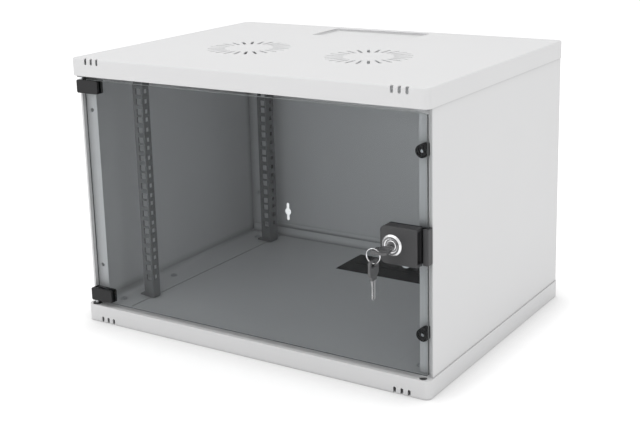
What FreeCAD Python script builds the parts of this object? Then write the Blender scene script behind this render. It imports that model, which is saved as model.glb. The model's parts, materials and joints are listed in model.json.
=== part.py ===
"""Wall mount network cabinet, 7 units high, with a hinged glass door and a cam lock.

Frame: X to the right, Y from the door to the wall, Z up. The origin is the centre of
the cabinet's bottom face. Every size in the sheet is in millimetres.
"""
import FreeCAD, Part
import Sketcher
import math
import operator
import os
from FreeCAD import Placement, Rotation, Vector

SIZES = (
    ("cab_width", 600, "overall width of the two covers"),
    ("cab_depth", 450, "overall depth of the two covers"),
    ("cab_height", 416, "overall height"),
    ("cover_rim", 27, "height of a cover's folded rim"),
    ("cover_sheet", 1.5, "steel of the covers"),
    ("corner_radius", 9, "vertical corners of the covers"),
    ("bend_radius", 2.5, "outside of the covers' long bends"),
    ("lip_depth", 24, "inward lip along the front rim"),
    ("sheet_gap", 0.3, "clearance between neighbouring sheets"),
    ("side_sheet", 1.2, "steel of the side, rear and floor panels"),
    ("side_setback", 14.5, "front edge of the side panels behind the covers' front"),
    ("front_lip", 4, "narrow lip beside the door, in front of the flange"),
    ("flange_back", 25, "side panel's flange behind the covers' front"),
    ("front_flange", 24, "side panel's flange behind the door"),
    ("rear_flange", 24, "side panel's flange under the rear panel"),
    ("foot_flange", 66, "side panel's flanges on the floor and under the roof"),
    ("rear_recess", 1.5, "rear panel inside the covers' rear rims"),
    ("rear_screw_in", 8, "rear panel's screws from its edge"),
    ("rear_screw_low", 100, "rear panel's screws from top and bottom"),
    ("floor_drop", 2, "floor panel below the bottom cover's rim"),
    ("vent_spacing", 212, "between the two vent rings"),
    ("vent_back", 188, "vent rings behind the front"),
    ("vent_inner", 37, "inner end of a vent slot"),
    ("vent_outer", 65, "outer end of a vent slot"),
    ("vent_slot", 4.5, "width of a vent slot"),
    ("vent_count", 24, "slots in a ring"),
    ("entry_width", 175, "cable entries in roof and floor"),
    ("entry_depth", 84, "cable entries in roof and floor"),
    ("entry_radius", 3, "corners of the cable entries"),
    ("roof_entry_shift", -8, "roof entry from the middle"),
    ("roof_entry_back", 348, "front edge of the roof entry"),
    ("floor_entry_shift", 40, "floor entry from the middle"),
    ("floor_entry_back", 331, "front edge of the floor entry"),
    ("entry_sink", 4, "roof entry plate below the roof"),
    ("entry_lap", 9, "entry plate's border under the roof"),
    ("pull_slot_long", 18, "slot for a finger in the entry plate"),
    ("pull_slot_wide", 6, "slot for a finger in the entry plate"),
    ("pull_slot_in", 15, "slot's middle from the entry's side"),
    ("pull_slot_back", 7, "slot's middle from the entry's front"),
    ("seal_thick", 2, "rubber sheet under the floor panel"),
    ("cable_slot", 8, "slit in that sheet"),
    ("cable_slot_in", 15, "slit from the entry's sides"),
    ("floor_bend", 1.8, "outside of the floor panel's bends"),
    ("floor_upstand", 15, "floor panel's flange in front of the rear panel"),
    ("corner_slot", 4.5, "width of the slots at the front corners"),
    ("corner_slot_pitch", 11, "between those slots"),
    ("corner_slot_in", 30, "outermost slot from the cover's side"),
    ("corner_slot_tall", 9.5, "how far a slot runs down the rim"),
    ("corner_slot_over", 4, "how far a slot runs over the bend"),
    ("corner_slot_bevel", 1.2, "blunt end of a slot"),
    ("bolt_from_side", 36, "panel bolts from the cabinet's side"),
    ("bolt_front", 46, "front panel bolt behind the front"),
    ("bolt_middle", 169, "middle panel bolt"),
    ("bolt_rear", 410, "rear panel bolt"),
    ("bolt_hole", 5.6, "clearance hole of a bolt"),
    ("bolt_shank", 5, "bolt diameter"),
    ("bolt_head", 9.5, "bolt head diameter"),
    ("bolt_head_tall", 3, "bolt head height"),
    ("nut_across", 10, "nut diameter over its corners"),
    ("nut_tall", 4, "nut height"),
    ("stud_reach", 10, "weld stud below the roof"),
    ("rear_screw_reach", 6, "rear panel's screws"),
    ("rear_screw_head", 2, "rear panel's screws"),
    ("rail_units", 7, "rack units"),
    ("rail_unit", 44.45, "height of one rack unit"),
    ("rail_hole", 9.5, "square hole"),
    ("rail_hole_end", 6.35, "first hole from the unit's end"),
    ("rail_hole_step", 15.875, "between the holes of one unit"),
    ("rail_hole_span", 465, "between the left and right columns of holes"),
    ("rail_inside", 450, "clear width between the rails"),
    ("rail_flange", 18.5, "rail's face"),
    ("rail_web_front", 16, "front rail's depth"),
    ("rail_web_rear", 25, "rear rail's depth"),
    ("rail_sheet", 2, "steel of the rails"),
    ("rail_window", 7, "square window in the rail's side"),
    ("rail_front_left", 72, "front left rail behind the front"),
    ("rail_front_right", 122, "front right rail, one step further back"),
    ("rail_rear_left", 395, "rear left rail behind the front"),
    ("rail_rear_right", 395, "rear right rail behind the front"),
    ("rail_foot_end", 46, "end of a rail's foot from the cabinet's side"),
    ("rail_foot_bolt", 56, "foot bolt from the cabinet's side"),
    ("keyhole_from_side", 81, "wall keyholes from the cabinet's side"),
    ("keyhole_from_end", 71, "wall keyholes from top and bottom"),
    ("keyhole_eye", 13, "keyhole's round middle"),
    ("keyhole_slot", 6, "keyhole's slots"),
    ("keyhole_tall", 33, "keyhole from end to end"),
    ("bead_from_rim", 19, "stiffening bead from the covers' rims"),
    ("bead_width", 7, "stiffening bead"),
    ("bead_rise", 2, "stiffening bead"),
    ("bead_in", 4, "stiffening bead from the side panels' flanges"),
    ("glass_thick", 4, "door glass"),
    ("glass_back", 6, "glass behind the covers' front"),
    ("glass_left", 20, "glass edge from the cabinet's left side"),
    ("glass_right", 5, "glass edge from the cabinet's right side"),
    ("glass_bottom", 5, "glass above the bottom cover's rim"),
    ("glass_top", 6, "glass below the top cover's rim"),
    ("glass_corner", 2.5, "glass corners"),
    ("pivot_from_side", 13, "door pivots from the cabinet's side"),
    ("pivot_back", 8, "door pivots behind the covers' front"),
    ("pivot_bore", 11, "pivot hole in a cover's lip"),
    ("pivot_pin", 6, "pivot pin"),
    ("pivot_nose", 4, "pin beyond the lip's face"),
    ("pivot_bevel", 1, "pin's end"),
    ("bush_flange", 1.5, "pivot bush's flange, its width and height"),
    ("bush_neck", 2, "pivot bush beyond the lip"),
    ("press_gap", 0.05, "round a pressed bush"),
    ("running_gap", 0.05, "running clearance round a pin"),
    ("pin_seat", 14, "pivot pin's length inside its clamp"),
    ("clamp_width", 41, "hinge clamp"),
    ("clamp_tall", 20, "hinge clamp"),
    ("clamp_front", 4.2, "hinge clamp in front of the glass"),
    ("clamp_rear", 5.6, "hinge clamp behind the glass"),
    ("clamp_left", 8, "hinge clamp from the cabinet's left side"),
    ("clamp_radius", 2.5, "hinge clamp's corners"),
    ("clamp_inset", 2, "hinge clamp from the glass's end"),
    ("pad_thick", 0.3, "rubber between a clamp and the glass"),
    ("pad_inset", 1, "rubber inside the clamp's edges"),
    ("grub_screw", 4, "hinge clamp's grub screws"),
    ("grub_socket", 2.3, "their sockets over the corners"),
    ("lock_from_side", 48, "lock axis from the cabinet's right side"),
    ("lock_height", 210, "lock axis above the base"),
    ("lock_plate_left", 18, "lock clamp left of the lock axis"),
    ("lock_plate_right", 35.5, "lock clamp right of the lock axis"),
    ("lock_plate_below", 26, "lock clamp below the lock axis"),
    ("lock_plate_above", 25, "lock clamp above the lock axis"),
    ("lock_plate_radius", 8, "lock clamp's left corners"),
    ("lock_plate_thick", 16, "lock clamp in front of the glass"),
    ("lock_bar", 8, "grip bar round the glass edge"),
    ("lock_bar_short", 1.5, "grip bar inside the lock clamp's ends"),
    ("lock_bar_front", 5, "grip bar in front of the glass"),
    ("lock_bar_radius", 1.6, "grip bar's long edges"),
    ("lock_rear_thick", 5, "lock clamp behind the glass"),
    ("lock_wrap_play", 0.4, "grip bar in front of the side panel's lip"),
    ("lock_wrap_gap", 0.8, "thick rear clamp from that lip"),
    ("lock_rear_inset", 3, "rear lock clamp inside the front one's left edge"),
    ("lock_face_bevel", 1.4, "lock clamp's face edges"),
    ("finger_groove", 5, "finger groove in the lock clamp's right side"),
    ("groove_front", 3, "groove behind the clamp's face"),
    ("groove_rear", 2.5, "groove in front of the clamp's rear"),
    ("groove_end", 4, "groove inside the clamp's ends"),
    ("gasket_side", 4.5, "lock gasket inside the clamp's sides"),
    ("gasket_end", 2, "lock gasket inside the clamp's ends"),
    ("lock_bezel", 29, "lock's bright ring"),
    ("lock_bezel_proud", 3.2, "lock's bright ring"),
    ("bezel_dish", 1, "hollow round the plug"),
    ("bezel_dish_wide", 1.6, "flat floor of that hollow"),
    ("bezel_crown", 2.4, "sloped outer part of the ring"),
    ("bezel_edge", 0.8, "straight outer edge of the ring"),
    ("lock_barrel", 20, "lock barrel"),
    ("lock_barrel_gap", 0.4, "round the barrel in the glass and clamp"),
    ("lock_nut", 27, "barrel's nut over its corners"),
    ("lock_nut_tall", 5, "barrel's nut"),
    ("lock_plug", 14, "turning plug"),
    ("plug_sink", 0.4, "plug behind the ring's face"),
    ("plug_bevel", 0.8, "plug's front edge"),
    ("plug_square", 8, "square tail that carries the cam"),
    ("lock_tail", 12, "barrel behind the rear clamp"),
    ("keyway_wide", 8.6, "keyway"),
    ("keyway_tall", 2.6, "keyway"),
    ("cam_long", 42, "lock cam from its axis to its tip"),
    ("cam_wide", 16, "lock cam"),
    ("cam_thick", 2.5, "lock cam"),
    ("cam_screw", 12, "head of the cam's screw"),
    ("cam_screw_tall", 3, "head of the cam's screw"),
    ("key_blade_wide", 8, "key"),
    ("key_blade_thick", 2, "key"),
    ("key_blade_long", 27, "key"),
    ("key_tip", 2, "slanted corners of the blade's tip"),
    ("key_out", 8, "bare blade in front of the lock"),
    ("key_neck", 5, "key's collar"),
    ("key_collar", 12, "key's collar"),
    ("key_head_long", 22, "key's grip"),
    ("key_head_wide", 22, "key's grip"),
    ("key_head_thick", 3.4, "key's grip"),
    ("key_corner", 5, "key's grip"),
    ("key_eye_long", 16, "slot in the grip"),
    ("key_eye_tall", 7, "slot in the grip"),
    ("key_bridge", 3, "grip outside its slot"),
    ("ring_radius", 9.6, "split ring, middle of its wire"),
    ("ring_wire", 1.6, "split ring's wire"),
    ("ring_play", 0.7, "between ring and grip"),
    ("bumper_width", 18, "door bumper"),
    ("bumper_from_side", 15.5, "door bumpers from the cabinet's side"),
    ("bumper_low", 86, "lower bumper above the base"),
    ("bumper_from_top", 83, "upper bumper below the cabinet's top"),
    ("bumper_stem", 6, "bumper's stem"),
    ("bumper_play", 0.2, "round the stem in its hole"),
    ("bumper_tail", 3, "stem behind the flange"),
    ("bumper_nose", 1.5, "height of the bumper's narrower front"),
    ("bumper_step", 1, "width of the step round it"),
)

doc = FreeCAD.newDocument("NetworkCabinet")
sheet = doc.addObject("Spreadsheet::Sheet", "Sizes")
sub_parts = []


class Size:
    """A length that carries its value together with the sheet expression behind it."""

    def __init__(self, text, value):
        self.text = text
        self.value = value

    def __add__(self, other):
        return joined(self, "+", other)

    def __radd__(self, other):
        return joined(other, "+", self)

    def __sub__(self, other):
        return joined(self, "-", other)

    def __rsub__(self, other):
        return joined(other, "-", self)

    def __mul__(self, other):
        return joined(self, "*", other)

    def __rmul__(self, other):
        return joined(other, "*", self)

    def __truediv__(self, other):
        return joined(self, "/", other)

    def __neg__(self):
        return joined(0, "-", self)


SIGNS = {"+": operator.add, "-": operator.sub, "*": operator.mul, "/": operator.truediv}


def text_of(length):
    return length.text if isinstance(length, Size) else "{:g}".format(length)


def value_of(length):
    return length.value if isinstance(length, Size) else float(length)


def joined(left, sign, right):
    value = SIGNS[sign](value_of(left), value_of(right))
    return Size("({} {} {})".format(text_of(left), sign, text_of(right)), value)


def fill_sheet():
    """Write the driving dimensions and return them as one named value each."""
    named = {}
    for row, (alias, number, meaning) in enumerate(SIZES, start=1):
        sheet.set("A{}".format(row), alias)
        sheet.set("B{}".format(row), str(number))
        sheet.set("C{}".format(row), meaning)
        sheet.setAlias("B{}".format(row), alias)
        named[alias] = Size("Sizes." + alias, float(number))
    doc.recompute()
    return named


dim = fill_sheet()


def bind(item, path, length):
    item.setExpression(path, text_of(length))


# ---------------------------------------------------------------- outlines in a sketch

def tie(made, geometry, point, x, y):
    """Two constraints that hold a point at its place from the sketch's origin."""
    rules = [Sketcher.Constraint("DistanceX", -1, 1, geometry, point, value_of(x)),
             Sketcher.Constraint("DistanceY", -1, 1, geometry, point, value_of(y))]
    first = made.ConstraintCount
    made.addConstraint(rules)
    bind(made, "Constraints[{}]".format(first), x)
    bind(made, "Constraints[{}]".format(first + 1), y)


def hold_radius(made, geometry, radius):
    index = made.addConstraint(Sketcher.Constraint("Radius", geometry, value_of(radius)))
    bind(made, "Constraints[{}]".format(index), radius)


def polygon(*corners):
    """Straight-sided outline through the given corners."""
    def draw(made):
        places = [Vector(value_of(x), value_of(y), 0) for x, y in corners]
        count = len(places)
        first = made.GeometryCount
        made.addGeometry([Part.LineSegment(places[i], places[(i + 1) % count])
                          for i in range(count)], False)
        made.addConstraint([Sketcher.Constraint("Coincident", first + i, 2,
                                                first + (i + 1) % count, 1)
                            for i in range(count)])
        for i, (x, y) in enumerate(corners):
            tie(made, first + i, 1, x, y)
    return draw


def rectangle(low_x, low_y, high_x, high_y):
    return polygon((low_x, low_y), (high_x, low_y), (high_x, high_y), (low_x, high_y))


def centred(x, y, width, height):
    """Rectangle about its centre."""
    return rectangle(x - width / 2, y - height / 2, x + width / 2, y + height / 2)


def blunt_slot(x, y, length, width):
    """Slot with chamfered ends, about its centre."""
    far = length / 2
    near_end = far - width * 0.3
    high = width / 2
    low = width * 0.2
    return polygon((x - near_end, y - high), (x + near_end, y - high), (x + far, y - low),
                   (x + far, y + low), (x + near_end, y + high), (x - near_end, y + high),
                   (x - far, y + low), (x - far, y - low))


def notch(x, low, high, width, bevel):
    """Slot open at its high end, with a blunt low end."""
    half = width / 2
    return polygon((x - half, high), (x - half, low + bevel), (x - half + bevel, low),
                   (x + half - bevel, low), (x + half, low + bevel), (x + half, high))


def circle(x, y, diameter):
    def draw(made):
        middle = Vector(value_of(x), value_of(y), 0)
        index = made.addGeometry(Part.Circle(middle, Vector(0, 0, 1), value_of(diameter) / 2),
                                 False)
        tie(made, index, 3, x, y)
        hold_radius(made, index, diameter / 2)
    return draw


def hexagon(x, y, across):
    """Hexagon about its centre, by its size over the corners."""
    half = across / 2
    side = half * math.sin(math.pi / 3)
    return polygon((x + half, y), (x + half / 2, y + side), (x - half / 2, y + side),
                   (x - half, y), (x - half / 2, y - side), (x + half / 2, y - side))


def arc_outline(made, centres, start_angles, span, radius):
    """Arcs about the given centres, joined in turn by tangent lines."""
    r = value_of(radius)
    arcs = []
    for (x, y), angle in zip(centres, start_angles):
        ring = Part.Circle(Vector(value_of(x), value_of(y), 0), Vector(0, 0, 1), r)
        turn = Rotation(Vector(0, 0, 1), angle)
        start = Vector(value_of(x), value_of(y), 0) + turn.multVec(Vector(r, 0, 0))
        arcs.append((Part.ArcOfCircle(ring, math.radians(angle), math.radians(angle + span)),
                     start))
    first = made.GeometryCount
    count = len(arcs)
    for i, (arc, _) in enumerate(arcs):
        made.addGeometry(arc, False)
        made.addGeometry(Part.LineSegment(arc.EndPoint, arcs[(i + 1) % count][1]), False)
    for i in range(count):
        arc = first + 2 * i
        following = first + 2 * ((i + 1) % count)
        made.addConstraint(Sketcher.Constraint("Tangent", arc, 2, arc + 1, 1))
        made.addConstraint(Sketcher.Constraint("Tangent", arc + 1, 2, following, 1))
        tie(made, arc, 3, *centres[i])
    hold_radius(made, first, radius)
    made.addConstraint([Sketcher.Constraint("Equal", first, first + 2 * i)
                        for i in range(1, count)])


def rounded(low_x, low_y, high_x, high_y, radius):
    """Rectangle with four equal round corners."""
    def draw(made):
        centres = [(high_x - radius, low_y + radius), (high_x - radius, high_y - radius),
                   (low_x + radius, high_y - radius), (low_x + radius, low_y + radius)]
        arc_outline(made, centres, (270, 0, 90, 180), 90, radius)
    return draw


def slot(x, y, length, width, upright=False):
    """Slot with round ends, about its centre, end to end length."""
    def draw(made):
        half = (length - width) / 2
        if upright:
            arc_outline(made, [(x, y + half), (x, y - half)], (0, 180), 180, width / 2)
        else:
            arc_outline(made, [(x + half, y), (x - half, y)], (270, 90), 180, width / 2)
    return draw


# ---------------------------------------------------------------- features of a body

def new_body(label):
    """A sub-part that is exported under its own label."""
    made = doc.addObject("PartDesign::Body", label)
    made.Label = label
    sub_parts.append(made)
    return made


def sketch(body, name, plane, level, outlines, centre=(0, 0)):
    """A sketch on one of the body's origin planes, at a level along that plane's axis."""
    made = body.newObject("Sketcher::SketchObject", body.Name + name)
    role = plane + "_Plane"
    support = [item for item in body.Origin.OriginFeatures if item.Role == role]
    made.AttachmentSupport = [(support[0], "")]
    made.MapMode = "FlatFace"
    bind(made, "AttachmentOffset.Base.x", centre[0])
    bind(made, "AttachmentOffset.Base.y", centre[1])
    bind(made, "AttachmentOffset.Base.z", 0 - level if plane == "XZ" else level)
    for outline in outlines:
        outline(made)
    return made


def extrude(body, kind, name, plane, low, high, outlines, centre=(0, 0)):
    made = body.newObject("PartDesign::" + kind, body.Name + name)
    made.Profile = sketch(body, name + "Outline", plane, low, outlines, centre)
    bind(made, "Length", high - low)
    made.Reversed = (plane == "XZ") == (kind == "Pad")
    return made


def pad(body, name, plane, low, high, *outlines):
    """Material between two levels along the plane's axis."""
    return extrude(body, "Pad", name, plane, low, high, outlines)


def cut(body, name, plane, low, high, *outlines):
    """Material taken away between two levels along the plane's axis."""
    return extrude(body, "Pocket", name, plane, low, high, outlines)


def turned(body, name, plane, level, centre, axis, corners, kind="Revolution"):
    """A profile turned about the H_Axis or V_Axis through the sketch's centre."""
    profile = sketch(body, name + "Profile", plane, level, [polygon(*corners)], centre)
    made = body.newObject("PartDesign::" + kind, body.Name + name)
    made.Profile = profile
    made.ReferenceAxis = (profile, [axis])
    made.Angle = 360
    return made


def repeat(body, name, feature, step, count):
    """The feature repeated upwards along its sketch's vertical axis."""
    made = body.newObject("PartDesign::LinearPattern", body.Name + name)
    made.Originals = [feature]
    made.Direction = (feature.Profile[0], ["V_Axis"])
    bind(made, "Length", step * (count - 1))
    bind(made, "Occurrences", count)
    body.Tip = made
    return made


def fan_out(body, name, feature, count):
    """The feature repeated in a full circle about its sketch's origin."""
    made = body.newObject("PartDesign::PolarPattern", body.Name + name)
    made.Originals = [feature]
    made.Axis = (feature.Profile[0], ["N_Axis"])
    made.Angle = 360
    bind(made, "Occurrences", count)
    body.Tip = made
    return made


def along(edge, axis):
    """Whether a straight edge runs along the axis."""
    if edge.Curve.TypeId != "Part::GeomLine":
        return False
    return abs(abs(edge.Curve.Direction.dot(axis)) - 1) < 1e-6


def soften(body, kind, name, path, size, wanted):
    """Fillet or chamfer the edges of the body so far that pass the test."""
    doc.recompute()
    tip = body.Tip
    picked = ["Edge{}".format(number) for number, edge in enumerate(tip.Shape.Edges, start=1)
              if wanted(edge)]
    made = body.newObject("PartDesign::" + kind, body.Name + name)
    made.Base = (tip, picked)
    bind(made, path, size)
    return made


def round_edges(body, name, radius, wanted):
    return soften(body, "Fillet", name, "Radius", radius, wanted)


def bevel_edges(body, name, size, wanted):
    return soften(body, "Chamfer", name, "Size", size, wanted)


UP = Vector(0, 0, 1)
BACKWARDS = Vector(0, 1, 0)


def near(number, length):
    return abs(number - value_of(length)) < 0.01


def group(label, master, places):
    """Copies of one fastener, kept together as a sub-part of separate solids."""
    copies = []
    for number, (x, y, z) in enumerate(places, start=1):
        copy = doc.addObject("App::Link", "{}_{}".format(label, number))
        copy.LinkedObject = master
        bind(copy, "Placement.Base.x", x)
        bind(copy, "Placement.Base.y", y)
        bind(copy, "Placement.Base.z", z)
        copies.append(copy)
    made = doc.addObject("Part::Compound", label)
    made.Label = label
    made.Links = copies
    sub_parts.append(made)
    return made


def master_part(name):
    """A fastener that is only copied, never exported by itself."""
    return doc.addObject("PartDesign::Body", name)


# ---------------------------------------------------------------- shared places

half_width = dim["cab_width"] / 2
half_depth = dim["cab_depth"] / 2
roof_inside = dim["cab_height"] - dim["cover_sheet"]
floor_top = dim["cover_rim"] - dim["floor_drop"]
flange_top = floor_top + dim["side_sheet"]
roof_flange_low = roof_inside - dim["side_sheet"]
side_out = half_width - dim["cover_sheet"] - dim["sheet_gap"]
side_in = side_out - dim["side_sheet"]
side_front = dim["side_setback"] - half_depth
flange_y = dim["flange_back"] - half_depth
rear_out = half_depth - dim["cover_sheet"] - dim["rear_recess"]
rear_in = rear_out - dim["side_sheet"]
rear_corner = half_depth - dim["corner_radius"]
lip_back = dim["lip_depth"] - half_depth
bolt_x = half_width - dim["bolt_from_side"]
glass_front_y = dim["glass_back"] - half_depth
glass_rear_y = glass_front_y + dim["glass_thick"]
glass_left_x = dim["glass_left"] - half_width
glass_right_x = half_width - dim["glass_right"]
glass_low_z = dim["cover_rim"] + dim["glass_bottom"]
glass_high_z = dim["cab_height"] - dim["cover_rim"] - dim["glass_top"]
pivot_x = half_width - dim["pivot_from_side"]
pivot_y = dim["pivot_back"] - half_depth
lock_x = half_width - dim["lock_from_side"]
lock_z = dim["lock_height"]
floor_bolts = [(sign * bolt_x, dim[row] - half_depth)
               for sign in (-1, 1) for row in ("bolt_front", "bolt_middle", "bolt_rear")]
rail_bolt_x = half_width - dim["rail_foot_bolt"]
SIDES = (("left", -1), ("right", 1))
rail_bolts = [(sign * rail_bolt_x,
               dim["rail_{}_{}".format(row, side)] + dim["rail_web_" + row] / 2 - half_depth)
              for side, sign in SIDES for row in ("front", "rear")]
roof_bolts = [(sign * bolt_x, dim["bolt_middle"] - half_depth) for sign in (-1, 1)]
roof_bolts += rail_bolts
rear_half = half_width - dim["corner_radius"]
rear_screw_x = rear_half - dim["rear_screw_in"]
rear_screw_heights = [dim["rear_screw_low"], dim["cab_height"] - dim["rear_screw_low"]]
bumper_x = half_width - dim["bumper_from_side"]
bumper_heights = [dim["bumper_low"], dim["cab_height"] - dim["bumper_from_top"]]


def entry_box(shift, back, margin=0):
    """Low and high corners of a cable entry, grown by a margin."""
    low_y = back - half_depth
    return (shift - dim["entry_width"] / 2 - margin, low_y - margin,
            shift + dim["entry_width"] / 2 + margin, low_y + dim["entry_depth"] + margin)


# ---------------------------------------------------------------- covers

def cover(label, entry_shift, entry_back, turned_over):
    """Folded pan with a front lip, drawn with its flat face up and its rim's edge at Z 0."""
    body = new_body(label)
    rim = dim["cover_rim"]
    steel = dim["cover_sheet"]
    pad(body, "Block", "XY", 0, rim,
        rectangle(-half_width, -half_depth, half_width, half_depth))
    round_edges(body, "Corners", dim["corner_radius"], lambda edge: along(edge, UP))
    round_edges(body, "Bends", dim["bend_radius"],
                lambda edge: near(edge.CenterOfMass.z, rim))
    cut(body, "Hollow", "XY", steel, rim - steel,
        rounded(steel - half_width, steel - half_depth, half_width - steel,
                half_depth - steel, dim["corner_radius"] - steel))
    inner = half_width - steel
    slot_in = side_in - dim["sheet_gap"]
    slot_front = side_front - dim["sheet_gap"]
    rear_edge = half_depth - steel
    cut_corner = half_width - dim["corner_radius"]
    cut_back = half_depth - dim["corner_radius"]
    cut(body, "Mouth", "XY", 0, steel,
        polygon((-inner, slot_front), (-slot_in, slot_front), (-slot_in, lip_back),
                (slot_in, lip_back), (slot_in, slot_front), (inner, slot_front),
                (inner, cut_back), (cut_corner, rear_edge), (-cut_corner, rear_edge),
                (-inner, cut_back)))
    cut(body, "Pivots", "XY", 0, steel, circle(-pivot_x, pivot_y, dim["pivot_bore"]),
        circle(pivot_x, pivot_y, dim["pivot_bore"]))
    corner_slots(body, rim)
    cut(body, "Entry", "XY", rim - steel, rim,
        rounded(*entry_box(entry_shift, entry_back), dim["entry_radius"]))
    if turned_over:
        body.Placement = Placement(Vector(0, 0, 0), Rotation(BACKWARDS, 180))
        bind(body, "Placement.Base.z", rim)
    else:
        bind(body, "Placement.Base.z", dim["cab_height"] - rim)
    return body


def corner_slots(body, rim):
    """Three short slots over the front bend at each corner."""
    low = rim - dim["corner_slot_tall"]
    outer = half_width - dim["corner_slot_in"]
    outlines = [notch(sign * (outer - number * dim["corner_slot_pitch"]), low, rim,
                      dim["corner_slot"], dim["corner_slot_bevel"])
                for sign in (-1, 1) for number in range(3)]
    cut(body, "CornerSlots", "XZ", -half_depth, dim["corner_slot_over"] - half_depth,
        *outlines)


def vents(body):
    """Two rings of radial slots in the roof."""
    rim = dim["cover_rim"]
    length = dim["vent_outer"] - dim["vent_inner"]
    middle = (dim["vent_outer"] + dim["vent_inner"]) / 2
    for name, sign in (("Left", -1), ("Right", 1)):
        centre = (sign * dim["vent_spacing"] / 2, dim["vent_back"] - half_depth)
        one = extrude(body, "Pocket", name + "Vent", "XY", rim - dim["cover_sheet"], rim,
                      [blunt_slot(middle, 0, length, dim["vent_slot"])], centre)
        fan_out(body, name + "Ring", one, dim["vent_count"])


def weld_studs(body):
    """Threaded studs under the roof for the side panels and the rails."""
    high = dim["cover_rim"] - dim["cover_sheet"]
    pad(body, "Studs", "XY", high - dim["stud_reach"], high,
        *[circle(x, y, dim["bolt_shank"]) for x, y in roof_bolts])


def roof_entry_plate():
    """Sunk plate that closes the roof entry, with a small pull slot at one corner."""
    body = new_body("roof_entry_plate")
    steel = dim["side_sheet"]
    low_x, low_y, high_x, high_y = entry_box(dim["roof_entry_shift"], dim["roof_entry_back"])
    gap = dim["sheet_gap"]
    lap = dim["entry_lap"]
    high = roof_inside
    low = dim["cab_height"] - dim["entry_sink"] - steel
    pad(body, "Border", "XY", high - steel, high,
        rectangle(low_x - lap, low_y - lap, high_x + lap, high_y + lap))
    pad(body, "Tray", "XY", low, high - steel,
        rectangle(low_x - steel, low_y - steel, high_x + steel, high_y + steel))
    cut(body, "Sink", "XY", low + steel, high,
        rounded(low_x + gap, low_y + gap, high_x - gap, high_y - gap, dim["entry_radius"]))
    cut(body, "PullSlot", "XY", low, low + steel,
        slot(low_x + dim["pull_slot_in"], low_y + dim["pull_slot_back"],
             dim["pull_slot_long"], dim["pull_slot_wide"]))


# ---------------------------------------------------------------- floor

def floor_panel():
    """Shallow tray upside down on the bottom cover, with a flange up its rear edge."""
    body = new_body("floor_panel")
    steel = dim["side_sheet"]
    wide = side_in - dim["sheet_gap"]
    front = lip_back + dim["sheet_gap"]
    rear = rear_in - steel - dim["sheet_gap"]
    pad(body, "Block", "XY", dim["cover_sheet"], floor_top,
        rectangle(-wide, front, wide, rear))
    round_edges(body, "Bends", dim["floor_bend"],
                lambda edge: near(edge.CenterOfMass.z, floor_top) and not along(edge, UP))
    cut(body, "Hollow", "XY", dim["cover_sheet"], floor_top - steel,
        rectangle(steel - wide, front + steel, wide - steel, rear - steel))
    upstand = wide - dim["floor_bend"]
    pad(body, "Upstand", "XY", floor_top - dim["floor_bend"], floor_top + dim["floor_upstand"],
        rectangle(-upstand, rear - steel, upstand, rear))
    cut(body, "Entry", "XY", floor_top - steel, floor_top,
        rounded(*entry_box(dim["floor_entry_shift"], dim["floor_entry_back"]),
                dim["entry_radius"]))
    nuts_low = floor_top - steel - dim["nut_tall"]
    places = floor_bolts + rail_bolts
    pad(body, "ClinchNuts", "XY", nuts_low, floor_top - steel,
        *[hexagon(x, y, dim["nut_across"]) for x, y in places])
    cut(body, "BoltHoles", "XY", nuts_low, floor_top,
        *[circle(x, y, dim["bolt_shank"] + 2 * dim["running_gap"]) for x, y in places])


def floor_entry_seal():
    """Rubber sheet that closes the floor entry, slit for the cables."""
    body = new_body("floor_entry_seal")
    steel = dim["side_sheet"]
    under = floor_top - steel
    low_x, low_y, high_x, high_y = entry_box(dim["floor_entry_shift"],
                                             dim["floor_entry_back"])
    gap = dim["sheet_gap"]
    lap = dim["entry_lap"]
    middle = (low_y + high_y) / 2
    low = under - dim["seal_thick"]
    pad(body, "Sheet", "XY", low, under,
        rectangle(low_x - lap, low_y - lap, high_x + lap, high_y + lap))
    pad(body, "Plug", "XY", under, floor_top,
        rounded(low_x + gap, low_y + gap, high_x - gap, high_y - gap, dim["entry_radius"]))
    cut(body, "CableSlot", "XY", low, floor_top,
        slot(dim["floor_entry_shift"], middle, dim["entry_width"] - 2 * dim["cable_slot_in"],
             dim["cable_slot"]))


# ---------------------------------------------------------------- side and rear panels

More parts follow.
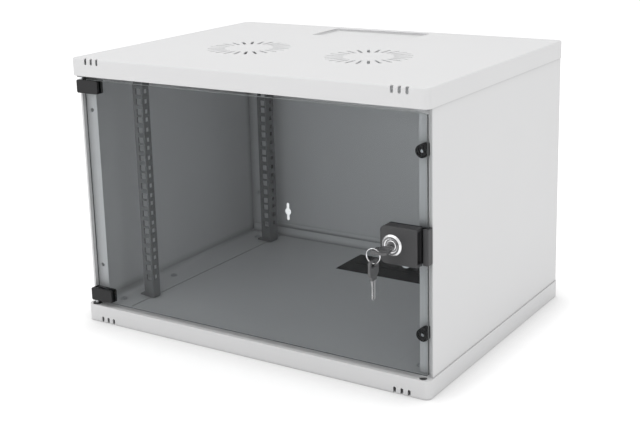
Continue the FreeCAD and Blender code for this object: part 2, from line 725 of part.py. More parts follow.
def side_panel(label, sign):
    """Folded side: skin, stepped door flange, rear flange, floor and roof flanges."""
    body = new_body(label)
    steel = dim["side_sheet"]
    low = dim["cover_sheet"]
    flange_low = dim["cover_rim"] + dim["sheet_gap"]
    flange_high = dim["cab_height"] - dim["cover_rim"] - dim["sheet_gap"]
    outer = sign * side_out
    inner = sign * side_in
    door_edge = sign * (side_out - dim["front_flange"])
    step = sign * (side_out - dim["front_lip"])
    step_back = step + sign * steel
    rear_edge = sign * (side_out - dim["rear_flange"])
    foot_edge = sign * (side_out - dim["foot_flange"])
    foot_front = lip_back + dim["sheet_gap"]
    foot_rear = rear_corner - dim["sheet_gap"]
    pad(body, "Channel", "XY", flange_low, flange_high,
        polygon((door_edge, flange_y), (step, flange_y), (step, side_front),
                (outer, side_front), (outer, rear_in), (rear_edge, rear_in),
                (rear_edge, rear_in - steel), (inner, rear_in - steel),
                (inner, side_front + steel), (step_back, side_front + steel),
                (step_back, flange_y + steel), (door_edge, flange_y + steel)))
    round_edges(body, "Bends", steel,
                lambda edge: along(edge, UP) and near(edge.CenterOfMass.x, outer))
    skin = rectangle(inner, side_front, outer, rear_corner - dim["sheet_gap"])
    pad(body, "LowSkin", "XY", low, flange_low, skin)
    pad(body, "HighSkin", "XY", flange_high, roof_inside, skin)
    pad(body, "FloorFlange", "XY", floor_top, flange_top,
        rectangle(foot_edge, foot_front, inner, foot_rear))
    pad(body, "RoofFlange", "XY", roof_flange_low, roof_inside,
        rectangle(foot_edge, foot_front, inner, foot_rear))
    for name, bottom, top, places in (
            ("FloorHoles", floor_top, flange_top, floor_bolts + rail_bolts),
            ("RoofHoles", roof_flange_low, roof_inside, roof_bolts)):
        cut(body, name, "XY", bottom, top, *[circle(x, y, dim["bolt_hole"])
                                             for x, y in places if value_of(x) * sign > 0])
    cut(body, "BumperHoles", "XZ", flange_y, flange_y + steel,
        *[circle(sign * bumper_x, z, dim["bumper_stem"] + 2 * dim["bumper_play"])
          for z in bumper_heights])
    rear_holes = [circle(sign * rear_screw_x, z, dim["bolt_hole"]) for z in rear_screw_heights]
    cut(body, "RearHoles", "XZ", rear_in - steel, rear_in, *rear_holes)


def keyhole_places():
    x = half_width - dim["keyhole_from_side"]
    low = dim["keyhole_from_end"]
    return [(sign * x, z) for sign in (-1, 1) for z in (low, dim["cab_height"] - low)]


def rear_panel():
    """Flat rear sheet with wall keyholes and a pressed bead near each end."""
    body = new_body("rear_panel")
    low = dim["cover_sheet"] + dim["sheet_gap"]
    high = roof_inside - dim["sheet_gap"]
    pad(body, "Sheet", "XY", low, high, rectangle(-rear_half, rear_in, rear_half, rear_out))
    bead_x = side_out - dim["rear_flange"] - dim["bead_in"]
    rise = dim["bead_rise"]
    half = dim["bead_width"] / 2
    slope = half - rise / 2
    thin = dim["side_sheet"] / 2
    bead = dim["cover_rim"] + dim["bead_from_rim"]
    for name, z in (("Low", bead), ("High", dim["cab_height"] - bead)):
        pad(body, name + "Bead", "YZ", -bead_x, bead_x,
            polygon((rear_in, z - half), (rear_in - rise, z - slope),
                    (rear_in - rise, z + slope), (rear_in, z + half)))
        cut(body, name + "Groove", "YZ", thin - bead_x, bead_x - thin,
            polygon((rear_out, z - half + thin), (rear_out - rise, z - slope + thin),
                    (rear_out - rise, z + slope - thin), (rear_out, z + half - thin)))
    eyes = [circle(x, z, dim["keyhole_eye"]) for x, z in keyhole_places()]
    slits = [slot(x, z, dim["keyhole_tall"], dim["keyhole_slot"], upright=True)
             for x, z in keyhole_places()]
    cut(body, "KeyholeSlots", "XZ", rear_in, rear_out, *slits)
    cut(body, "KeyholeEyes", "XZ", rear_in, rear_out, *eyes)
    cut(body, "ScrewHoles", "XZ", rear_in, rear_out,
        *[circle(sign * rear_screw_x, z, dim["bolt_hole"])
          for sign in (-1, 1) for z in rear_screw_heights])


# ---------------------------------------------------------------- rack rails

def rail(row, side, sign, closed):
    """Perforated angle, or a channel when closed, on feet that bolt to the flanges."""
    body = new_body("{}_{}_rail".format(row, side))
    steel = dim["rail_sheet"]
    inside = dim["rail_inside"] / 2
    near_y = dim["rail_{}_{}".format(row, side)] - half_depth
    web = dim["rail_web_" + row]
    far_y = near_y + web
    web_in = sign * inside
    web_out = sign * (inside + steel)
    tip = sign * (inside + dim["rail_flange"])
    corners = [(tip, near_y), (web_in, near_y), (web_in, far_y)]
    if closed:
        corners += [(tip, far_y), (tip, far_y - steel), (web_out, far_y - steel)]
    else:
        corners += [(web_out, far_y)]
    corners += [(web_out, near_y + steel), (tip, near_y + steel)]
    low = flange_top
    high = roof_flange_low
    pad(body, "Profile", "XY", low, high, polygon(*corners))
    round_edges(body, "Bend", steel,
                lambda edge: along(edge, UP) and near(edge.CenterOfMass.x, web_in)
                and (closed or near(edge.CenterOfMass.y, near_y)))
    foot = rectangle(web_out, near_y + steel, sign * (half_width - dim["rail_foot_end"]),
                     far_y - steel)
    pad(body, "Foot", "XY", low, low + steel, foot)
    pad(body, "Head", "XY", high - steel, high, foot)
    bolt = circle(sign * rail_bolt_x, near_y + web / 2, dim["bolt_hole"])
    cut(body, "FootHole", "XY", low, low + steel, bolt)
    cut(body, "HeadHole", "XY", high - steel, high, bolt)
    first = (dim["cab_height"] - dim["rail_units"] * dim["rail_unit"]) / 2
    heights = [first + dim["rail_hole_end"] + dim["rail_hole_step"] * step
               for step in range(3)]
    hole_x = sign * dim["rail_hole_span"] / 2
    face_holes = cut(body, "FaceHoles", "XZ", near_y, near_y + steel,
                     *[centred(hole_x, z, dim["rail_hole"], dim["rail_hole"])
                       for z in heights])
    repeat(body, "FaceColumn", face_holes, dim["rail_unit"], dim["rail_units"])
    web_low = web_in if sign > 0 else web_out
    web_y = near_y + (web + steel) / 2
    side_holes = cut(body, "SideWindows", "YZ", web_low, web_low + steel,
                     *[centred(web_y, z, dim["rail_window"], dim["rail_window"])
                       for z in heights])
    repeat(body, "SideColumn", side_holes, dim["rail_unit"], dim["rail_units"])


# ---------------------------------------------------------------- fasteners

def screw_master(name, reach):
    """Master hexagon screw: its head stands on the origin, its shank hangs below."""
    master = master_part(name)
    pad(master, "Shank", "XY", -reach, 0, circle(0, 0, dim["bolt_shank"]))
    pad(master, "Head", "XY", 0, dim["bolt_head_tall"], hexagon(0, 0, dim["bolt_head"]))
    return master


def fasteners():
    """Screws and nuts that hold the panels, rails and covers together."""
    reach = 2 * dim["side_sheet"] + dim["nut_tall"]
    group("panel_floor_screws", screw_master("PanelScrew", reach),
          [(x, y, flange_top) for x, y in floor_bolts])
    group("rail_foot_screws", screw_master("RailScrew", reach + dim["rail_sheet"]),
          [(x, y, flange_top + dim["rail_sheet"]) for x, y in rail_bolts])
    nut = master_part("StudNut")
    pad(nut, "Block", "XY", -dim["nut_tall"], 0, hexagon(0, 0, dim["nut_across"]))
    cut(nut, "Bore", "XY", -dim["nut_tall"], 0,
        circle(0, 0, dim["bolt_shank"] + 2 * dim["running_gap"]))
    head_low = roof_flange_low - dim["rail_sheet"]
    group("roof_stud_nuts", nut,
          [(x, y, head_low if (x, y) in rail_bolts else roof_flange_low)
           for x, y in roof_bolts])
    rear_screw = master_part("RearScrew")
    pad(rear_screw, "Shank", "XZ", -dim["rear_screw_reach"], 0,
        circle(0, 0, dim["bolt_shank"]))
    pad(rear_screw, "Head", "XZ", 0, dim["rear_screw_head"],
        hexagon(0, 0, dim["bolt_head"]))
    group("rear_panel_screws", rear_screw,
          [(sign * rear_screw_x, rear_out, z) for sign in (-1, 1) for z in rear_screw_heights])


# ---------------------------------------------------------------- door

def door_glass():
    """Tempered pane with a hole for the lock."""
    body = new_body("door_glass")
    pad(body, "Pane", "XZ", glass_front_y, glass_rear_y,
        rounded(glass_left_x, glass_low_z, glass_right_x, glass_high_z, dim["glass_corner"]))
    cut(body, "LockHole", "XZ", glass_front_y, glass_rear_y,
        circle(lock_x, lock_z, dim["lock_barrel"] + 2 * dim["lock_barrel_gap"]))


clamp_right = dim["clamp_left"] - half_width + dim["clamp_width"]
grub_places = [clamp_right - dim["grub_screw"] * step for step in (2, 5)]
clamp_low = glass_low_z + dim["clamp_inset"]
clamp_high = glass_high_z - dim["clamp_tall"]


def hinge_clamp(label, low):
    """Moulded U that grips the glass's corner and holds the pivot pin."""
    body = new_body(label)
    left = dim["clamp_left"] - half_width
    front = glass_front_y - dim["pad_thick"] - dim["clamp_front"]
    rear = glass_rear_y + dim["pad_thick"] + dim["clamp_rear"]
    high = low + dim["clamp_tall"]
    pad(body, "Block", "XZ", front, rear,
        rounded(left, low, clamp_right, high, dim["clamp_radius"]))
    cut(body, "GlassSlot", "XZ", glass_front_y - dim["pad_thick"],
        glass_rear_y + dim["pad_thick"],
        rectangle(glass_left_x - dim["pad_thick"], low, clamp_right, high))
    cut(body, "PinBore", "XY", low, high,
        circle(-pivot_x, pivot_y, dim["pivot_pin"] + 2 * dim["running_gap"]))
    cut(body, "GrubHoles", "XZ", glass_rear_y, rear,
        *[circle(x, low + dim["clamp_tall"] / 2, dim["grub_screw"] + 2 * dim["running_gap"])
          for x in grub_places])


def hinge_pin(label, upwards):
    """Shouldered pivot pin: body in the clamp, nose in the bush of a cover's lip."""
    body = new_body(label)
    radius = dim["pivot_pin"] / 2
    sign = 1 if upwards else -1
    seat = clamp_high + dim["clamp_tall"] if upwards else clamp_low
    lip = dim["cab_height"] - dim["cover_rim"] if upwards else dim["cover_rim"]
    inner = seat - sign * dim["pin_seat"]
    nose = lip + sign * dim["pivot_nose"]
    bevel = dim["pivot_bevel"]
    turned(body, "Turn", "XZ", pivot_y, (-pivot_x, 0), "V_Axis",
           [(0, inner), (radius, inner), (radius, nose - sign * bevel),
            (radius - bevel, nose), (0, nose)])


def pivot_bush(label, at_top):
    """Flanged plastic bush pressed into the cover's lip."""
    body = new_body(label)
    sign = 1 if at_top else -1
    lip = dim["cab_height"] - dim["cover_rim"] if at_top else dim["cover_rim"]
    bore = dim["pivot_pin"] / 2 + dim["running_gap"]
    neck = dim["pivot_bore"] / 2 - dim["press_gap"]
    flange = neck + dim["bush_flange"]
    flange_end = lip - sign * dim["bush_flange"]
    neck_end = lip + sign * (dim["cover_sheet"] + dim["bush_neck"])
    turned(body, "Turn", "XZ", pivot_y, (-pivot_x, 0), "V_Axis",
           [(bore, flange_end), (flange, flange_end), (flange, lip), (neck, lip),
            (neck, neck_end), (bore, neck_end)])


def clamp_details():
    """Rubber pads and grub screws of the two hinge clamps."""
    thick = dim["pad_thick"]
    inset = dim["pad_inset"]
    pad_master = master_part("ClampPad")
    pad(pad_master, "Sheet", "XZ", 0, thick,
        rectangle(glass_left_x + inset, inset, clamp_right - inset,
                  dim["clamp_tall"] - inset))
    group("hinge_clamp_pads", pad_master,
          [(0, y, z) for y in (glass_front_y - thick, glass_rear_y)
           for z in (clamp_low, clamp_high)])
    grub = master_part("GrubScrew")
    grub_end = thick + dim["clamp_rear"]
    pad(grub, "Shank", "XZ", thick, grub_end, circle(0, 0, dim["grub_screw"]))
    cut(grub, "Socket", "XZ", grub_end - dim["grub_screw"] / 2, grub_end,
        hexagon(0, 0, dim["grub_socket"]))
    group("hinge_grub_screws", grub,
          [(x, glass_rear_y, z + dim["clamp_tall"] / 2) for x in grub_places
           for z in (clamp_low, clamp_high)])


# ---------------------------------------------------------------- lock

lock_plate_low = lock_z - dim["lock_plate_below"]
lock_plate_high = lock_z + dim["lock_plate_above"]
lock_plate_left = lock_x - dim["lock_plate_left"]
lock_plate_right = lock_x + dim["lock_plate_right"]
lock_face_y = glass_front_y - dim["lock_plate_thick"]
lock_wrap_x = glass_right_x + dim["sheet_gap"]
lock_wrap_out = half_width - dim["cover_sheet"]
lock_bar_left = lock_wrap_out - dim["lock_bar"]
lock_rear_y = glass_rear_y + dim["pad_thick"] + dim["lock_rear_thick"]
barrel_end_y = lock_rear_y + dim["lock_tail"]
barrel_hole = dim["lock_barrel"] + 2 * dim["lock_barrel_gap"]


def lock_clamp_front():
    """Moulded block that carries the lock in front of the glass."""
    body = new_body("lock_clamp_front")
    rear = glass_front_y - dim["pad_thick"]
    pad(body, "Block", "XZ", lock_face_y, rear,
        rectangle(lock_plate_left, lock_plate_low, lock_plate_right, lock_plate_high))
    round_edges(body, "LeftCorners", dim["lock_plate_radius"],
                lambda edge: along(edge, BACKWARDS)
                and near(edge.CenterOfMass.x, lock_plate_left))
    bevel_edges(body, "FaceEdges", dim["lock_face_bevel"],
                lambda edge: near(edge.CenterOfMass.y, lock_face_y))
    cut(body, "FingerGroove", "YZ", lock_plate_right - dim["finger_groove"],
        lock_plate_right,
        rectangle(lock_face_y + dim["groove_front"], lock_plate_low + dim["groove_end"],
                  rear - dim["groove_rear"], lock_plate_high - dim["groove_end"]))
    cut(body, "BarrelHole", "XZ", lock_face_y, rear, circle(lock_x, lock_z, barrel_hole))


def lock_clamp_rear():
    """Grip bar that wraps the glass's edge, with the plate behind the glass."""
    body = new_body("lock_clamp_rear")
    low = lock_plate_low + dim["lock_bar_short"]
    high = lock_plate_high - dim["lock_bar_short"]
    front = glass_front_y - dim["pad_thick"] - dim["lock_bar_front"]
    inner_front = glass_front_y - dim["pad_thick"]
    inner_rear = glass_rear_y + dim["pad_thick"]
    plate_left = lock_plate_left + dim["lock_rear_inset"]
    plate_right = side_out - dim["front_lip"] - dim["lock_wrap_gap"]
    wrap_rear = side_front - dim["lock_wrap_play"]
    pad(body, "Profile", "XY", low, high,
        polygon((lock_bar_left, front), (lock_wrap_out, front), (lock_wrap_out, wrap_rear),
                (plate_right, wrap_rear), (plate_right, lock_rear_y),
                (plate_left, lock_rear_y), (plate_left, inner_rear),
                (lock_wrap_x, inner_rear), (lock_wrap_x, inner_front),
                (lock_bar_left, inner_front)))
    round_edges(body, "BarEdges", dim["lock_bar_radius"],
                lambda edge: along(edge, UP)
                and (near(edge.CenterOfMass.x, lock_wrap_out)
                     or near(edge.CenterOfMass.x, lock_bar_left)
                     and near(edge.CenterOfMass.y, front)))
    cut(body, "BarrelHole", "XZ", inner_rear, lock_rear_y,
        circle(lock_x, lock_z, barrel_hole))


def lock_gaskets():
    """Rubber sheets between the lock clamp and the two faces of the glass."""
    thick = dim["pad_thick"]
    side = dim["gasket_side"]
    end = dim["gasket_end"]
    sheet_part = master_part("LockGasket")
    pad(sheet_part, "Sheet", "XZ", 0, thick,
        rectangle(lock_plate_left + side, lock_plate_low + end, lock_plate_right - side,
                  lock_plate_high - end))
    cut(sheet_part, "Hole", "XZ", 0, thick, circle(lock_x, lock_z, barrel_hole))
    group("lock_gaskets", sheet_part,
          [(0, y, 0) for y in (glass_front_y - thick, glass_rear_y)])


def lock_body():
    """Barrel with its bright bezel, turned in one piece, and the nut behind it."""
    body = new_body("lock_barrel")
    bezel = dim["lock_bezel"] / 2
    proud = dim["lock_bezel_proud"]
    barrel = dim["lock_barrel"] / 2
    bore = dim["lock_plug"] / 2 + dim["running_gap"]
    face = lock_face_y - proud
    dish = dim["bezel_dish"]
    dish_wide = dim["bezel_dish_wide"]
    turned(body, "Turn", "YZ", lock_x, (0, lock_z), "H_Axis",
           [(face + dish, bore), (face + dish, bore + dish_wide),
            (face, bore + dish_wide + dish), (face, bezel - dim["bezel_crown"]),
            (lock_face_y - dim["bezel_edge"], bezel), (lock_face_y, bezel),
            (lock_face_y, barrel), (barrel_end_y, barrel), (barrel_end_y, bore)])
    nut = new_body("lock_nut")
    nut_end_y = lock_rear_y + dim["lock_nut_tall"]
    pad(nut, "Block", "XZ", lock_rear_y, nut_end_y,
        hexagon(lock_x, lock_z, dim["lock_nut"]))
    cut(nut, "Bore", "XZ", lock_rear_y, nut_end_y,
        circle(lock_x, lock_z, dim["lock_barrel"] + 2 * dim["running_gap"]))


def lock_plug():
    """Turning plug with a flat keyway and a square tail for the cam."""
    body = new_body("lock_plug")
    radius = dim["lock_plug"] / 2
    face = lock_face_y - dim["lock_bezel_proud"] + dim["plug_sink"]
    bevel = dim["plug_bevel"]
    tail = barrel_end_y + dim["sheet_gap"]
    turned(body, "Turn", "YZ", lock_x, (0, lock_z), "H_Axis",
           [(face, 0), (face, radius - bevel), (face + bevel, radius), (tail, radius),
            (tail, 0)])
    pad(body, "Square", "XZ", tail, tail + dim["cam_thick"],
        centred(lock_x, lock_z, dim["plug_square"], dim["plug_square"]))
    cut(body, "Keyway", "XZ", face, key_tip_y + dim["sheet_gap"],
        centred(lock_x, lock_z, dim["keyway_wide"], dim["keyway_tall"]))


def lock_cam():
    """Flat cam hanging down when the door is free, turned behind the flange to lock."""
    body = new_body("lock_cam")
    low = barrel_end_y + dim["sheet_gap"]
    high = low + dim["cam_thick"]
    half = dim["cam_wide"] / 2
    top = lock_z + half
    pad(body, "Blade", "XZ", low, high,
        slot(lock_x, (top + lock_z - dim["cam_long"]) / 2, dim["cam_long"] + half,
             dim["cam_wide"], upright=True))
    square = dim["plug_square"] + 2 * dim["running_gap"]
    cut(body, "SquareHole", "XZ", low, high, centred(lock_x, lock_z, square, square))
    screw = new_body("cam_screw")
    pad(screw, "Head", "XZ", high, high + dim["cam_screw_tall"],
        hexagon(lock_x, lock_z, dim["cam_screw"]))


# ---------------------------------------------------------------- keys

key_start_y = lock_face_y - dim["lock_bezel_proud"] - dim["key_out"]
key_tip_y = key_start_y + dim["key_blade_long"]
key_head_rear_y = key_start_y - dim["key_neck"]
key_end_y = key_head_rear_y - dim["key_head_long"]
key_eye_y = key_end_y + dim["key_bridge"] + dim["key_eye_tall"] / 2
bridge_x = lock_x - dim["key_eye_long"] / 2 - dim["key_bridge"] / 2
ring_bore = dim["ring_radius"] - dim["ring_wire"] / 2
ring_top_z = lock_z + dim["key_head_thick"] / 2 + dim["ring_play"]
ring_z = ring_top_z - ring_bore
spare_wire_z = ring_z - dim["ring_radius"]
spare_top_z = spare_wire_z + dim["ring_wire"] / 2 + dim["ring_play"] + dim["key_bridge"]
spare_head_low_z = spare_top_z - dim["key_head_long"]
spare_start_z = spare_head_low_z - dim["key_neck"]


def key_blade():
    """Flat steel blade in the keyway, with its tip chamfered."""
    body = new_body("key_blade")
    half = dim["key_blade_wide"] / 2
    thick = dim["key_blade_thick"] / 2
    slant = dim["key_tip"]
    pad(body, "Blade", "XY", lock_z - thick, lock_z + thick,
        polygon((lock_x - half, key_start_y), (lock_x + half, key_start_y),
                (lock_x + half, key_tip_y - slant), (lock_x + half - slant, key_tip_y),
                (lock_x - half + slant, key_tip_y), (lock_x - half, key_tip_y - slant)))


def key_head():
    """Moulded grip with its collar and oval eye."""
    body = new_body("key_head")
    half = dim["key_head_wide"] / 2
    thick = dim["key_head_thick"] / 2
    pad(body, "Grip", "XY", lock_z - thick, lock_z + thick,
        rounded(lock_x - half, key_end_y, lock_x + half, key_head_rear_y,
                dim["key_corner"]))
    collar = dim["key_collar"] / 2
    pad(body, "Collar", "XY", lock_z - thick, lock_z + thick,
        rectangle(lock_x - collar, key_head_rear_y - 1, lock_x + collar, key_start_y))
    cut(body, "Eye", "XY", lock_z - thick, lock_z + thick,
        slot(lock_x, key_eye_y, dim["key_eye_long"], dim["key_eye_tall"]))


def spare_key():
    """The second key, hanging below the ring with its flat side across it."""
    blade = new_body("spare_key_blade")
    half = dim["key_blade_wide"] / 2
    thick = dim["key_blade_thick"] / 2
    slant = dim["key_tip"]
    tip = spare_start_z - dim["key_blade_long"]
    pad(blade, "Blade", "YZ", bridge_x - thick, bridge_x + thick,
        polygon((key_eye_y - half, spare_start_z), (key_eye_y - half, tip + slant),
                (key_eye_y - half + slant, tip), (key_eye_y + half - slant, tip),
                (key_eye_y + half, tip + slant), (key_eye_y + half, spare_start_z)))
    head = new_body("spare_key_head")
    wide = dim["key_head_wide"] / 2
    deep = dim["key_head_thick"] / 2
    eye_z = spare_top_z - dim["key_bridge"] - dim["key_eye_tall"] / 2
    pad(head, "Grip", "YZ", bridge_x - deep, bridge_x + deep,
        rounded(key_eye_y - wide, spare_head_low_z, key_eye_y + wide, spare_top_z,
                dim["key_corner"]))
    collar = dim["key_collar"] / 2
    pad(head, "Collar", "YZ", bridge_x - deep, bridge_x + deep,
        rectangle(key_eye_y - collar, spare_start_z, key_eye_y + collar,
                  spare_head_low_z + 1))
    cut(head, "Eye", "YZ", bridge_x - deep, bridge_x + deep,
        slot(key_eye_y, eye_z, dim["key_eye_long"], dim["key_eye_tall"]))


def key_ring():
    """Ring through the key's eye, upright and across the door, of eight-sided wire."""
    body = new_body("key_ring")
    wire = dim["ring_wire"] / 2
    angles = [math.radians(45 * step) for step in range(8)]
    turned(body, "Turn", "XY", ring_z, (bridge_x, key_eye_y), "V_Axis",
           [(dim["ring_radius"] + wire * math.cos(angle), wire * math.sin(angle))
            for angle in angles])


# ---------------------------------------------------------------- door bumpers

def bumpers():
    """Rubber buffers on the right flange that the closed door leans on."""
    reach = flange_y - glass_rear_y - dim["sheet_gap"]
    master = master_part("Bumper")
    radius = dim["bumper_width"] / 2
    stem = dim["bumper_stem"] / 2
    nose = dim["bumper_nose"]
    step = dim["bumper_step"]
    stem_end = dim["side_sheet"] + dim["bumper_tail"]
    turned(master, "Turn", "YZ", 0, (0, 0), "H_Axis",
           [(-reach, 0), (-reach, radius - step - nose), (nose - reach, radius - step),
            (nose - reach, radius), (0, radius), (0, stem), (stem_end, stem),
            (stem_end, 0)])
    group("door_bumpers", master,
          [(bumper_x, flange_y, z) for z in bumper_heights])


# ---------------------------------------------------------------- build, check, write

def build():
    roof = cover("top_cover", dim["roof_entry_shift"], dim["roof_entry_back"], False)
    vents(roof)
    weld_studs(roof)
    cover("bottom_cover", -dim["floor_entry_shift"], dim["floor_entry_back"], True)
    roof_entry_plate()
    floor_panel()
    floor_entry_seal()
    side_panel("left_side_panel", -1)
    side_panel("right_side_panel", 1)
    rear_panel()
    for side, sign in SIDES:
        rail("front", side, sign, False)
        rail("rear", side, sign, True)
    fasteners()
    door_glass()
    hinge_clamp("upper_hinge_clamp", clamp_high)
    hinge_clamp("lower_hinge_clamp", clamp_low)
    hinge_pin("upper_hinge_pin", True)
    hinge_pin("lower_hinge_pin", False)
    pivot_bush("upper_pivot_bush", True)
    pivot_bush("lower_pivot_bush", False)
    clamp_details()
    lock_clamp_front()
    lock_clamp_rear()
    lock_gaskets()
    lock_body()
    lock_plug()
    lock_cam()
    key_blade()
    key_head()
    key_ring()
    spare_key()
    bumpers()
    doc.recompute()


def check():
    """Stop on any failed object, on a cut that took nothing away, and on a bad shape."""
    for item in doc.Objects:
        if "Invalid" in item.State or "Error" in item.State:
            raise RuntimeError("failed: {}".format(item.Name))
        if item.TypeId == "PartDesign::Pocket":
            before = item.BaseFeature.Shape.Volume
            if item.Shape.Volume > before - 1e-3:
                raise RuntimeError("cuts nothing: {}".format(item.Name))
    for item in sub_parts:
        if item.Shape.isNull() or not item.Shape.isValid():
            raise RuntimeError("bad shape: {}".format(item.Label))


def write():
    os.makedirs("parts", exist_ok=True)
    for item in sub_parts:
        item.Shape.exportStep("parts/{}.step".format(item.Label))
        box = item.Shape.BoundBox
        print("{:22s} solids {:2d}  X {:7.1f} {:7.1f}  Y {:7.1f} {:7.1f}  Z {:6.1f} {:6.1f}"
              .format(item.Label, len(item.Shape.Solids), box.XMin, box.XMax, box.YMin,
                      box.YMax, box.ZMin, box.ZMax))


build()
check()
write()
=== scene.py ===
"""Looks of a wall mount network cabinet: powder coated steel, tinted glass door, cam lock.

Laid out as an add-on: sizes, colours and studio values are properties, and every piece or
group of like pieces is an operator. All lengths are metres in the frame of the CAD model.
"""
import json
import math

import bmesh
import bpy
from mathutils import Matrix, Vector


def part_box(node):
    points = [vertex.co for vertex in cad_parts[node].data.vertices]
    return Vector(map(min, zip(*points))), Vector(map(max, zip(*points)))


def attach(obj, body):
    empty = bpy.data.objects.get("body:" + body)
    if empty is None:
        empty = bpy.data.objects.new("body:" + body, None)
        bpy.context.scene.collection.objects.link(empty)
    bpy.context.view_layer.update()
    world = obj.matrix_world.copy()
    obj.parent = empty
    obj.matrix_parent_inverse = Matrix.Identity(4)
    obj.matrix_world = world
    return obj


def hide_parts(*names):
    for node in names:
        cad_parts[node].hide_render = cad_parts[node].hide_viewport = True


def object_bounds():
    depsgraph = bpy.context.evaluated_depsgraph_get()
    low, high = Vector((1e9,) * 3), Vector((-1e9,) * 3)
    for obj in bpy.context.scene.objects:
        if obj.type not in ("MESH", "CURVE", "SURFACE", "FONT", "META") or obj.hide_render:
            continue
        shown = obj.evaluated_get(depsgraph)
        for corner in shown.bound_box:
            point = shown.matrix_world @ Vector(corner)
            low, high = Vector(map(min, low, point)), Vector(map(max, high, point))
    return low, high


bl_info = {
    "name": "Network cabinet looks",
    "version": (1, 0, 0),
    "blender": (4, 5, 0),
    "location": "View3D > Sidebar > Cabinet",
    "description": "Finishes and fine pieces of a wall mount network cabinet",
    "category": "Object",
}

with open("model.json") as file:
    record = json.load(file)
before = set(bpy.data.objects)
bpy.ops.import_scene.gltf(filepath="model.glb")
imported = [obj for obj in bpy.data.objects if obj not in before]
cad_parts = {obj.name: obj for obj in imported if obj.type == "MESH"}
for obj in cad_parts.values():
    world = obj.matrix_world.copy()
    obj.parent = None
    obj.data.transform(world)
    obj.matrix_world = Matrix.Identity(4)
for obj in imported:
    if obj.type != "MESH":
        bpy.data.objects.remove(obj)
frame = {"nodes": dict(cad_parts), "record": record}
CAD_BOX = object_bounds()
BODIES = frame["record"]["behaviour"]["bodies"]
BODY_OF = {node: body for body, members in BODIES.items() for node in members}
SLOT_OF = {part["node"]: part["material_slot"] for part in frame["record"]["subparts"]}
MM = 0.001

MERGE = 0.002 * MM                      # corners nearer than this are one
SMOOTH_BEND = math.radians(30)          # bends of a CAD copy shade smooth up to this
SMOOTH_MADE = math.radians(35)          # and those of screws, nuts and bumpers up to this
HARD_EDGE = math.radians(40)            # edges sharper than this are rounded
FACING = 0.9                            # least part of a normal along the axis it faces
UPWARD = 0.5                            # the same for a glass edge face that looks up, which gets the painted light

SHELL_ROUGHNESS, RAIL_ROUGHNESS = 0.42, 0.38
NOISE_RANGE = (0.3, 0.7)                # where most of a noise lies
CORNER_SAMPLES = 8                      # rays that look for a nearby wall, for the painted shade in corners
WHITE = (1, 1, 1, 1)
GLASS_IOR = 1.5
GLASS_SHEEN = (0.15, 0.15, 0.15, 1)     # share of the pane's reflection that is kept

HEAD_SIDES, SHANK_SIDES = 28, 16
CROWN = 0.62                            # top of a pan head over its diameter
NUT_CHAMFER = (0.72, 0.44)              # radii of the cone that trims a nut over its width
RIM = 0.83                              # inner edge of the lock's bright rim over its radius

KEY_CUTS = (0.5, 1.0, 0.35, 0.75, 0.2, 0.6)     # depths over the deepest
CUTS_START, CUTS_SPAN = 0.24, 0.6       # over the blade's length
CUT_FLOOR = (0.35, 0.6)                 # where a cut's floor starts and ends over its pitch
TIP = 0.3                               # chamfer of the tip over the blade's width
GROOVE_START = 0.02                     # from the blade's middle over its width
GROOVE_DEPTH = 0.22                     # over the blade's thickness

RING_STEPS, WIRE_SIDES = 64, 10         # steps in a turn of the ring, and round its wire
RING_START = math.radians(70)
RING_SLIDE, RING_SUDDEN = 0.25, 10      # half the step between turns over the ring's height
WIRE_INSET = 0.36                       # wire's middle within the ring's rim over the height
WIRE_ACROSS, WIRE_ALONG = 0.34, 0.235   # half of the wire's section over the ring's height

# front of a bumper: share of the radius, and millimetres behind the foremost point
BUMPER_FRONT = ((0.24, 2.6), (0.3, 2.6), (0.33, 0.3), (0.37, 0.0), (0.55, 0.0), (0.57, 1.5),
                (0.68, 1.5), (0.7, 0.0), (0.85, 0.0), (0.88, 0.3), (0.89, 1.5),
                (0.97, 1.5), (1.0, 1.8))

FLOOR_REACH = 8.0                       # half a side of the studio floor
FLOOR_SHADE = 60 * MM                   # how near a piece the floor darkens with painted shadow
FLOOR_GLOW = (0.35, 0.8, 0.42, 0.55)    # glow that whitens the floor, weaker near the middle as painted shadow: it grows between two distances, from least to most
# softbox: place from the cabinet's middle, width and height, and its property
SOFTBOXES = {"Ceiling": ((-0.2, -0.3, 1.9), (2.6, 2.6), "ceiling"),
             "Front left": ((-0.9, -2.4, 0.4), (1.8, 1.0), "front"),
             "Right": ((2.4, -0.5, 0.7), (1.4, 1.4), "side")}


# ---------------------------------------------------------------- properties

